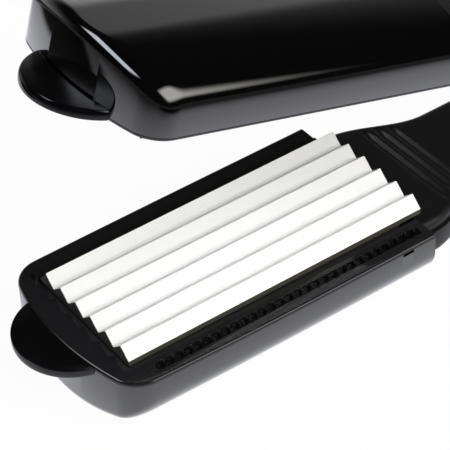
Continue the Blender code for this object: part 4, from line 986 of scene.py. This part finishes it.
# ------------------------------------------------------------------ inner covers
# The cover that closes each arm on the inside is a separate moulding, held by two sunk
# screws.  Three moulded grooves run across it just behind the jaw.
COVER_FILLET = 2.2
COVER_INSET = 0.9
GROOVES = (101.0, 104.3, 107.7)
GROOVE_HALF_WIDTH = 1.35
GROOVE_DEPTH = 0.8
SCREW_SEAT = 2.2                     # depth of the sunk seat below the cover's top
SEAT_RADIUS = 4.2
WELL_RADIUS = 2.9


def cover_section(x, half, top, low, inset, groove=0.0):
    """Return one section of the cover, from its near lower edge over the top."""
    half -= inset
    top -= inset
    radius = COVER_FILLET - inset
    flat = half - radius
    side = [(x, -half, low)]
    for angle in quarter_arc(6):
        side.append((x, -half + radius * (1.0 - math.cos(angle)),
                     top - radius * (1.0 - math.sin(angle))))
    for i in range(1, 9):
        y = -flat + flat * i / 9
        side.append((x, y, top - groove * ease(-y, flat - 3.5, flat - 0.2, 1.0, 0.0)))
    return side + [(x, -y, z) for x, y, z in side[::-1]]


def groove_drop(x):
    """Depth of the nearest groove at x."""
    drop = 0.0
    for middle in GROOVES:
        offset = abs(x - middle) / GROOVE_HALF_WIDTH
        if offset < 1.0:
            drop = GROOVE_DEPTH * (0.5 + 0.5 * math.cos(math.pi * offset))
    return drop


def make_cover(name, places, half_width, place):
    """Make a thin cover over these places along the arm, closed at both ends."""
    outer, inner = [], []
    ends = {places[0]: COVER_WALL, places[-1]: -COVER_WALL}
    for x in places:
        size = (half_width(x) - COVER_INSET, cover_top(x), arm_rim(x) + GAP)
        outer.append(cover_section(x, *size, 0.0, groove_drop(x)))
        inner.append(cover_section(x + ends.get(x, 0.0), *size, COVER_WALL))
    return make_piece(name, wall_body(outer, inner, cap_first=True, cap_last=True), place, 40.0)


for side, place, body_name in HALVES:
    cover_end = (UPPER_ARM_END if side == "upper" else HINGE_X - BARREL_RADIUS) - 2.0
    places = stations(ARM_START, 99.2, 1.2)
    for middle in GROOVES:
        places += [middle + GROOVE_HALF_WIDTH * k / 6 for k in range(-6, 7)]
    places += stations(109.4, cover_end)
    cover = make_cover(side + "_grip_cover", places, arm_half_width, place)
    seats, wells = [], []
    for x in COVER_SCREWS:
        top = cover_top(x)
        seat = top - SCREW_SEAT
        seats.append(upright_body(x, 0.0, ((SEAT_RADIUS, seat - COVER_WALL),
                                           (SEAT_RADIUS, top - 0.4))))
        wells.append(upright_body(x, 0.0, ((SCREW_BORE, seat - 3.0), (SCREW_BORE, seat),
                                           (WELL_RADIUS, seat), (WELL_RADIUS, top - 0.25),
                                           (WELL_RADIUS + 0.25, top + 0.05),
                                           (WELL_RADIUS + 0.25, top + 1.0))))
    cut(cover, seats, place, "UNION")
    cut(cover, wells, place, sharp=35.0)
    dress(cover, arm_material, body_name, "arm_plastic", side + "_inner_cover")

# ------------------------------------------------------------------ screws
# Zinc plated pan head screws with a cross recess hold the covers and the plate carriers.
# Geometry Nodes turn one screw and set it on each point, with its head's underside there.
COVER_SHANK = 7.2
COVER_SCREW_SEAT = -1.9              # the head's underside below the cover's top
CARRIER_SHANK = 7.0
CARRIER_SCREWS = (5.6, 77.6)
CARRIER_SEAT = -7.0 + 1.4 + GAP      # the head's underside on the carrier's floor
RECESS_LENGTH, RECESS_WIDTH, RECESS_DEPTH = 3.0 * MM, 0.62 * MM, 1.3 * MM
screw_sizes = {"Head radius": 2.6 * MM, "Head height": 1.6 * MM, "Shank radius": 1.2 * MM,
               "Shank length": COVER_SHANK * MM, "Thread pitch": 0.8 * MM}

# Bright zinc plate with faint blue passivation and light handling marks.
zinc_material = new_finish("zinc_plated_steel", 0.8, 3.0, {"Metallic": 1.0},
                           tones=("#b9bcc2", "#a9adb6"), gloss=(0.22, 0.40))

screw_tree = new_tree("cross_recess_screws", screw_sizes)
given = add_node(screw_tree, "NodeGroupInput")
down = add_node(screw_tree, "ShaderNodeMath", {
    "operation": "MULTIPLY", 0: given.outputs["Shank length"], 1: -1.0})
foot = add_node(screw_tree, "ShaderNodeCombineXYZ", {"Z": down})
crown = add_node(screw_tree, "ShaderNodeCombineXYZ", {"Z": given.outputs["Head height"]})
axis = add_node(screw_tree, "GeometryNodeCurvePrimitiveLine", {"Start": foot, "End": crown})
dense = add_node(screw_tree, "GeometryNodeResampleCurve", {"Count": 120, "Curve": axis})
spot = add_node(screw_tree, "GeometryNodeInputPosition")
level = add_node(screw_tree, "ShaderNodeSeparateXYZ", {0: spot})

# the head's radius falls off towards its top
in_head = add_node(screw_tree, "ShaderNodeMath", {
    "operation": "GREATER_THAN", 0: level.outputs["Z"], 1: 0.0})
rise = add_node(screw_tree, "ShaderNodeMath", {
    "operation": "DIVIDE", 0: level.outputs["Z"], 1: given.outputs["Head height"]})
rise_power = add_node(screw_tree, "ShaderNodeMath", {"operation": "POWER", 0: rise, 1: 2.6})
rounded = add_node(screw_tree, "ShaderNodeMath", {
    "operation": "MULTIPLY_ADD", 0: rise_power, 1: -0.62, 2: 1.0})
pan = add_node(screw_tree, "ShaderNodeMath", {"operation": "POWER", 0: rounded, 1: 0.5})
pan_radius = add_node(screw_tree, "ShaderNodeMath", {
    "operation": "MULTIPLY", 0: pan, 1: given.outputs["Head radius"]})

# the shank's radius goes in and out once for each turn of the thread
half_pitch = add_node(screw_tree, "ShaderNodeMath", {
    "operation": "MULTIPLY", 0: given.outputs["Thread pitch"], 1: 0.5})
wave = add_node(screw_tree, "ShaderNodeMath", {
    "operation": "PINGPONG", 0: level.outputs["Z"], 1: half_pitch})
depth_share = add_node(screw_tree, "ShaderNodeMath", {
    "operation": "DIVIDE", 0: wave, 1: half_pitch})
flank = add_node(screw_tree, "ShaderNodeMath", {
    "operation": "MULTIPLY_ADD", 0: depth_share, 1: 0.24, 2: 0.76})
shank_radius = add_node(screw_tree, "ShaderNodeMath", {
    "operation": "MULTIPLY", 0: flank, 1: given.outputs["Shank radius"]})
step = add_node(screw_tree, "ShaderNodeMath", {
    "operation": "SUBTRACT", 0: pan_radius, 1: shank_radius})
radius = add_node(screw_tree, "ShaderNodeMath", {
    "operation": "MULTIPLY_ADD", 0: in_head, 1: step, 2: shank_radius})
ring = add_node(screw_tree, "GeometryNodeCurvePrimitiveCircle", {"Resolution": 28, "Radius": 1.0})
turned = add_node(screw_tree, "GeometryNodeCurveToMesh", {
    "Fill Caps": True, "Curve": dense, "Profile Curve": ring, "Scale": radius})
recess = add_node(screw_tree, "GeometryNodeMeshBoolean", {
    "operation": "DIFFERENCE", "solver": "EXACT", 0: turned})
for size in ((RECESS_LENGTH, RECESS_WIDTH, RECESS_DEPTH),
             (RECESS_WIDTH, RECESS_LENGTH, RECESS_DEPTH)):
    blade = add_node(screw_tree, "GeometryNodeMeshCube", {"Size": size})
    raised = add_node(screw_tree, "GeometryNodeTransform", {
        "Geometry": blade, "Translation": crown})
    screw_tree.links.new(raised.outputs[0], recess.inputs[1])
placed = add_node(screw_tree, "GeometryNodeInstanceOnPoints", {
    "Points": given.outputs["Geometry"], "Instance": recess})
end_tree(screw_tree, placed, zinc_material)


def path_piece(name, points, joined):
    """Return an object with these points, given in jaw millimetres, joined by edges or loose."""
    body = bmesh.new()
    line = [body.verts.new(Vector(point) * MM) for point in points]
    if joined:
        for first, second in zip(line, line[1:]):
            body.edges.new((first, second))
    mesh = bpy.data.meshes.new(name)
    body.to_mesh(mesh)
    body.free()
    return add_object(name, mesh)


cover_seats = [(x, 0.0, cover_top(x) + COVER_SCREW_SEAT) for x in COVER_SCREWS]
carrier_seats = [(x, 0.0, CARRIER_SEAT) for x in CARRIER_SCREWS]
for side, place, body_name in HALVES:
    for kind, seats, length in (("cover", cover_seats, COVER_SHANK),
                                ("carrier", carrier_seats, CARRIER_SHANK)):
        screws = path_piece(f"{side}_{kind}_fixings", seats, joined=False)
        run_tree(screws, screw_tree, {**screw_sizes, "Shank length": length * MM}, place, 38.0)
        dress(screws, zinc_material, body_name, "screw_steel",
              f"{side}_{kind}_screw_1", f"{side}_{kind}_screw_2")

# ------------------------------------------------------------------ hinge pin, caps and spring
# A steel pin runs through the lower arm's ears and the upper arm's knuckles.  Pressed caps
# hide its ends, and a torsion spring on its middle holds the arms open.
CAP_FACE = 15.4
CAP_BACK = 14.2
CAP_RADIUS = 4.2
CAP_ROUNDING = 0.6
CAP_DISH_RADIUS = 2.6
CAP_DISH_DEPTH = 0.3
PIN_SHAFT_RADIUS = 2.0
PIN_HALF_LENGTH = 13.9
PIN_CHAMFER = 0.3
NEARLY_ZERO = 0.05                   # a turned body's poles are closed by a tiny flat
WIRE_RADIUS = 0.5
COIL_RADIUS = 3.6
COIL_TURNS = 4.5
COIL_HALF_LENGTH = 3.6
STEPS_PER_TURN = 36
LEG_STEPS = 12


def turned_body(profile, place, count=48):
    """Return a body turned about place's Z, from (radius, height) pairs with poles near zero."""
    body = stack_body([(circle(radius, count), height) for radius, height in profile])
    body.transform(place)
    return body


def on_hinge(turn):
    """Return a place on the hinge axis whose Z lies along it."""
    return Matrix.Translation((HINGE_X, 0.0, HINGE_Z)) @ Matrix.Rotation(turn, 4, "X")


for name, turn in (("near", math.pi / 2), ("far", -math.pi / 2)):
    profile = [(NEARLY_ZERO, CAP_BACK), (CAP_RADIUS - 0.2, CAP_BACK), (CAP_RADIUS, CAP_BACK + 0.2)]
    profile += [(CAP_RADIUS - CAP_ROUNDING * (1.0 - math.cos(angle)),
                 CAP_FACE - CAP_ROUNDING * (1.0 - math.sin(angle))) for angle in quarter_arc(6)]
    profile += [(CAP_DISH_RADIUS + 0.3, CAP_FACE), (CAP_DISH_RADIUS + 0.15, CAP_FACE - 0.1),
                (CAP_DISH_RADIUS, CAP_FACE - CAP_DISH_DEPTH),
                (NEARLY_ZERO, CAP_FACE - CAP_DISH_DEPTH)]
    cap = make_piece("hinge_cover_" + name, turned_body(profile, on_hinge(turn)), lower_place)
    dress(cap, arm_material, "lower_arm", "arm_plastic", "hinge_cap_" + name)

# Oil tempered spring wire: dark, bright drawn steel with soft lengthwise gloss.
spring_material = new_finish("drawn_spring_steel", 0.6, 2.0,
                             {"Base Color": linear("#8d8f93"), "Metallic": 1.0}, gloss=(0.20, 0.36))

spring_sizes = {"Wire radius": WIRE_RADIUS * MM}
spring_tree = new_tree("spring_wire", spring_sizes)
given = add_node(spring_tree, "NodeGroupInput")
path_curve = add_node(spring_tree, "GeometryNodeMeshToCurve", {"Mesh": given.outputs["Geometry"]})
ring = add_node(spring_tree, "GeometryNodeCurvePrimitiveCircle", {
    "Resolution": 14, "Radius": given.outputs["Wire radius"]})
wire = add_node(spring_tree, "GeometryNodeCurveToMesh", {
    "Fill Caps": True, "Curve": path_curve, "Profile Curve": ring})
end_tree(spring_tree, wire, spring_material)

steps = int(COIL_TURNS * STEPS_PER_TURN)
points = []
for i in range(steps + 1):
    angle = math.pi + 2.0 * math.pi * i / STEPS_PER_TURN
    points.append((HINGE_X + COIL_RADIUS * math.cos(angle),
                   -COIL_HALF_LENGTH + 2.0 * COIL_HALF_LENGTH * i / steps,
                   HINGE_Z + COIL_RADIUS * math.sin(angle)))
leg_x, leg_y, leg_z = points[-1]
leg_drop = -ARM_REAR_DEPTH + ARM_WALL + WIRE_RADIUS + 2.0 * GAP - leg_z
for i in range(1, LEG_STEPS + 1):
    part = i / LEG_STEPS
    points.append((leg_x + part ** 1.5, leg_y, leg_z + leg_drop * part))
torsion_spring = path_piece("torsion_spring", points, joined=True)
run_tree(torsion_spring, spring_tree, spring_sizes, lower_place, 180.0)
dress(torsion_spring, spring_material, "lower_arm", "spring_steel", "hinge_spring")

pin_profile = [(NEARLY_ZERO, -PIN_HALF_LENGTH), (PIN_SHAFT_RADIUS - PIN_CHAMFER, -PIN_HALF_LENGTH),
               (PIN_SHAFT_RADIUS, -PIN_HALF_LENGTH + PIN_CHAMFER)]
pin_profile += [(radius, -height) for radius, height in pin_profile[::-1]]
rod = make_piece("hinge_rod", turned_body(pin_profile, on_hinge(-math.pi / 2)), lower_place)
dress(rod, spring_material, "lower_arm", "spring_steel", "hinge_pin")

# ------------------------------------------------------------------ rear cover and cord gland
# A short cover closes the lower arm behind the hinge.  Below it a ribbed rubber gland sits
# in the rear wall, where a cord would come out.
REAR_COVER_START = HINGE_X + BARREL_RADIUS + 1.5
REAR_COVER_END = LOWER_ARM_END - 1.0
REAR_COVER_DRAW = 5.2                # each side draws in by this much at the end
REAR_COVER_STRAIGHT = 234.0
GLAND_TIP = 249.4
GLAND_RADIUS = 5.5
GLAND_BORE = 3.1
GLAND_NECK = 4.2
GLAND_RIBS = 4
GLAND_RIB_DEPTH = 0.5
GLAND_SIDES = 56


def rear_cover_half_width(x):
    """Half width of the rear cover, before its inset."""
    part = max((x - REAR_COVER_STRAIGHT) / (REAR_COVER_END - REAR_COVER_STRAIGHT), 0.0)
    return HANDLE_HALF_WIDTH - REAR_COVER_DRAW * part ** 1.5


tail_cover = make_cover("tail_cover", stations(REAR_COVER_START, REAR_COVER_END, 0.9),
                        rear_cover_half_width, lower_place)
dress(tail_cover, arm_material, "lower_arm", "arm_plastic", "rear_cover")

# Black moulded rubber: very dull, with a dusty bloom and a fine pebble of about 0.3 mm.
rubber_material = new_finish("black_moulded_rubber", 0.3, 2.0, {"Roughness": 0.72, "IOR": 1.52},
                             tones=("#141414", "#1d1d1d"), relief=(0.3, 0.05))

profile = [(GLAND_BORE, 239.0), (5.3, 239.0), (GLAND_RADIUS, 239.2), (GLAND_RADIUS, 240.7),
           (GLAND_NECK, 240.7), (GLAND_NECK, 243.3), (5.4, 243.3)]
for i in range(1, 33):
    part = i / 32
    groove = max(math.sin(part * GLAND_RIBS * 2.0 * math.pi), 0.0) ** 0.7
    profile.append((GLAND_RADIUS - 1.0 * part - GLAND_RIB_DEPTH * groove * (part < 0.99),
                    243.4 + (GLAND_TIP - 243.7) * part))
profile += [(GLAND_NECK, GLAND_TIP), (GLAND_BORE + 0.3, GLAND_TIP), (GLAND_BORE, GLAND_TIP - 0.3)]
gland = lengthwise_body(profile, GLAND_HEIGHT, GLAND_SIDES, looped=True)
ribbed_gland = make_piece("ribbed_gland", gland, lower_place, 40.0)
dress(ribbed_gland, rubber_material, "lower_arm", "gland_rubber", "cord_gland")

# ------------------------------------------------------------------ switch, lamp and board
# A slide switch and a small red lamp sit in the upper arm's back.  The switch's stem and the
# lamp reach a small circuit board inside the arm.
SWITCH_LENGTH = 11.0
SWITCH_HALF_WIDTH = 3.6
SWITCH_CORNER = 1.5
SWITCH_PROUD = 1.6
SWITCH_ROUNDING = 0.5
FINGER_GROOVE_PITCH = 1.6
FINGER_GROOVE_HALF_WIDTH = 0.35
FINGER_GROOVE_DEPTH = 0.45
STEM_HALF_LENGTH = 2.75
STEM_HALF_WIDTH = 1.4
arm_back = -arm_depth(SWITCH_X)
board_face = arm_back + ARM_WALL + 4.2


def switch_outline(shrink, steps=8):
    """Return the switch's rounded plan outline, drawn in by shrink."""
    corner = SWITCH_CORNER - shrink
    reach_x = SWITCH_LENGTH / 2 - shrink - corner
    reach_y = SWITCH_HALF_WIDTH - shrink - corner
    outline = []
    for x, y in ((1, 1), (-1, 1), (-1, -1), (1, -1)):
        start = math.atan2(y, x) - math.pi / 4
        for angle in quarter_arc(steps):
            outline.append((SWITCH_X + x * reach_x + corner * math.cos(start + angle),
                            y * reach_y + corner * math.sin(start + angle)))
    return outline


switch_top = arm_back - SWITCH_PROUD
levels = [(switch_outline(SWITCH_ROUNDING * (1.0 - math.sin(angle))),
           switch_top + SWITCH_ROUNDING * (1.0 - math.cos(angle))) for angle in quarter_arc(5)]
levels.append((switch_outline(0.0), arm_back - GAP))
slider = make_piece("slide_switch", stack_body(levels), upper_place)
grooves = []
for k in (-2, -1, 0, 1, 2):
    x = SWITCH_X + k * FINGER_GROOVE_PITCH
    grooves.append(box_body((x - FINGER_GROOVE_HALF_WIDTH, -10.0, switch_top - 1.0),
                            (x + FINGER_GROOVE_HALF_WIDTH, 10.0, switch_top + FINGER_GROOVE_DEPTH)))
stem = box_body((SWITCH_X - STEM_HALF_LENGTH, -STEM_HALF_WIDTH, arm_back - 0.9),
                (SWITCH_X + STEM_HALF_LENGTH, STEM_HALF_WIDTH, board_face - 1.6))
cut(slider, grooves, upper_place)
cut(slider, [stem], upper_place, "UNION")
soften(slider, 0.1, 2)
dress(slider, arm_material, "switch", "arm_plastic", "power_switch")

# Red tinted clear polycarbonate lens with a polished face.
lens_material = new_finish("red_polycarbonate_lens", 1.0, 1.0,
                           {"Roughness": 0.08, "IOR": 1.58, "Transmission Weight": 0.2},
                           tones=("#b3170f", "#8e0f0a"))
lens_face = -arm_depth(LAMP_X)
lens_dome = ((NEARLY_ZERO, -0.6), (0.5, -0.56), (0.95, -0.42), (1.3, -0.2), (1.5, -0.02),
             (1.6, 0.2))
profile = [(radius, lens_face + height) for radius, height in lens_dome]
profile.append((1.6, board_face - GAP))
lamp_place = Matrix.Translation((LAMP_X, 0.0, 0.0))
lamp_lens = make_piece("pilot_lens", turned_body(profile, lamp_place), upper_place)
dress(lamp_lens, lens_material, "upper_arm", "lamp_lens", "power_lamp")

# Green solder mask over glass epoxy laminate, with copper tracks about 1.5 mm apart under it.
board_material, tree = new_material("green_solder_mask")
where = add_node(tree, "ShaderNodeTexCoord")
tracks = add_node(tree, "ShaderNodeTexBrick", {
    "Scale": 1.0 / (3.0 * MM), "Mortar Size": 0.06, "Color1": linear("#0d3f22"),
    "Color2": linear("#0f4626"), "Mortar": linear("#2f6a3a"), "Vector": where.outputs["Object"]})
laminate = add_node(tree, "ShaderNodeBsdfPrincipled", {
    "Roughness": 0.35, "IOR": 1.55, "Base Color": tracks})
add_node(tree, "ShaderNodeOutputMaterial", {"Surface": laminate})


def finish_node(name, material):
    """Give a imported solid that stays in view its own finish."""
    for holder in bpy.data.objects[name].material_slots:
        holder.material = material


finish_node("circuit_board", board_material)

# ------------------------------------------------------------------ heaters, carriers and leads
# Under each plate a tray of heat resistant plastic holds a film wrapped heater, two leaf
# springs that press it up, and a thermal cut-out.  A twin lead runs back through the arm.

# Black glass filled PPS: dull and dense, with fine swirls of fibre about 1 mm long.
carrier_material = new_finish("glass_filled_pps", 1.0, 5.0, {"Roughness": 0.6, "IOR": 1.6},
                              tones=("#1d1b19", "#282521"), swirl=1.5)

# Amber polyimide film wrapped round the heating element, with creases about 4 mm apart.
heater_material = new_finish("polyimide_film", 4.0, 3.0, {"Roughness": 0.25, "IOR": 1.7},
                             tones=("#9a5a1c", "#b06e26"), relief=(0.3, 0.2))

# Red silicone sleeve: soft satin, with a slight mottle of about 2 mm.
sleeve_material = new_finish("red_silicone_sleeve", 2.0, 2.0, {"Roughness": 0.5, "IOR": 1.43},
                             tones=("#a8231c", "#931c17"))

for side, place, body_name in HALVES:
    for node, material in (("plate_carrier", carrier_material), ("heater", heater_material),
                           ("heater_spring_1", spring_material),
                           ("heater_spring_2", spring_material),
                           ("thermal_cutout", zinc_material), ("heater_lead", sleeve_material)):
        finish_node(f"{side}_{node}", material)
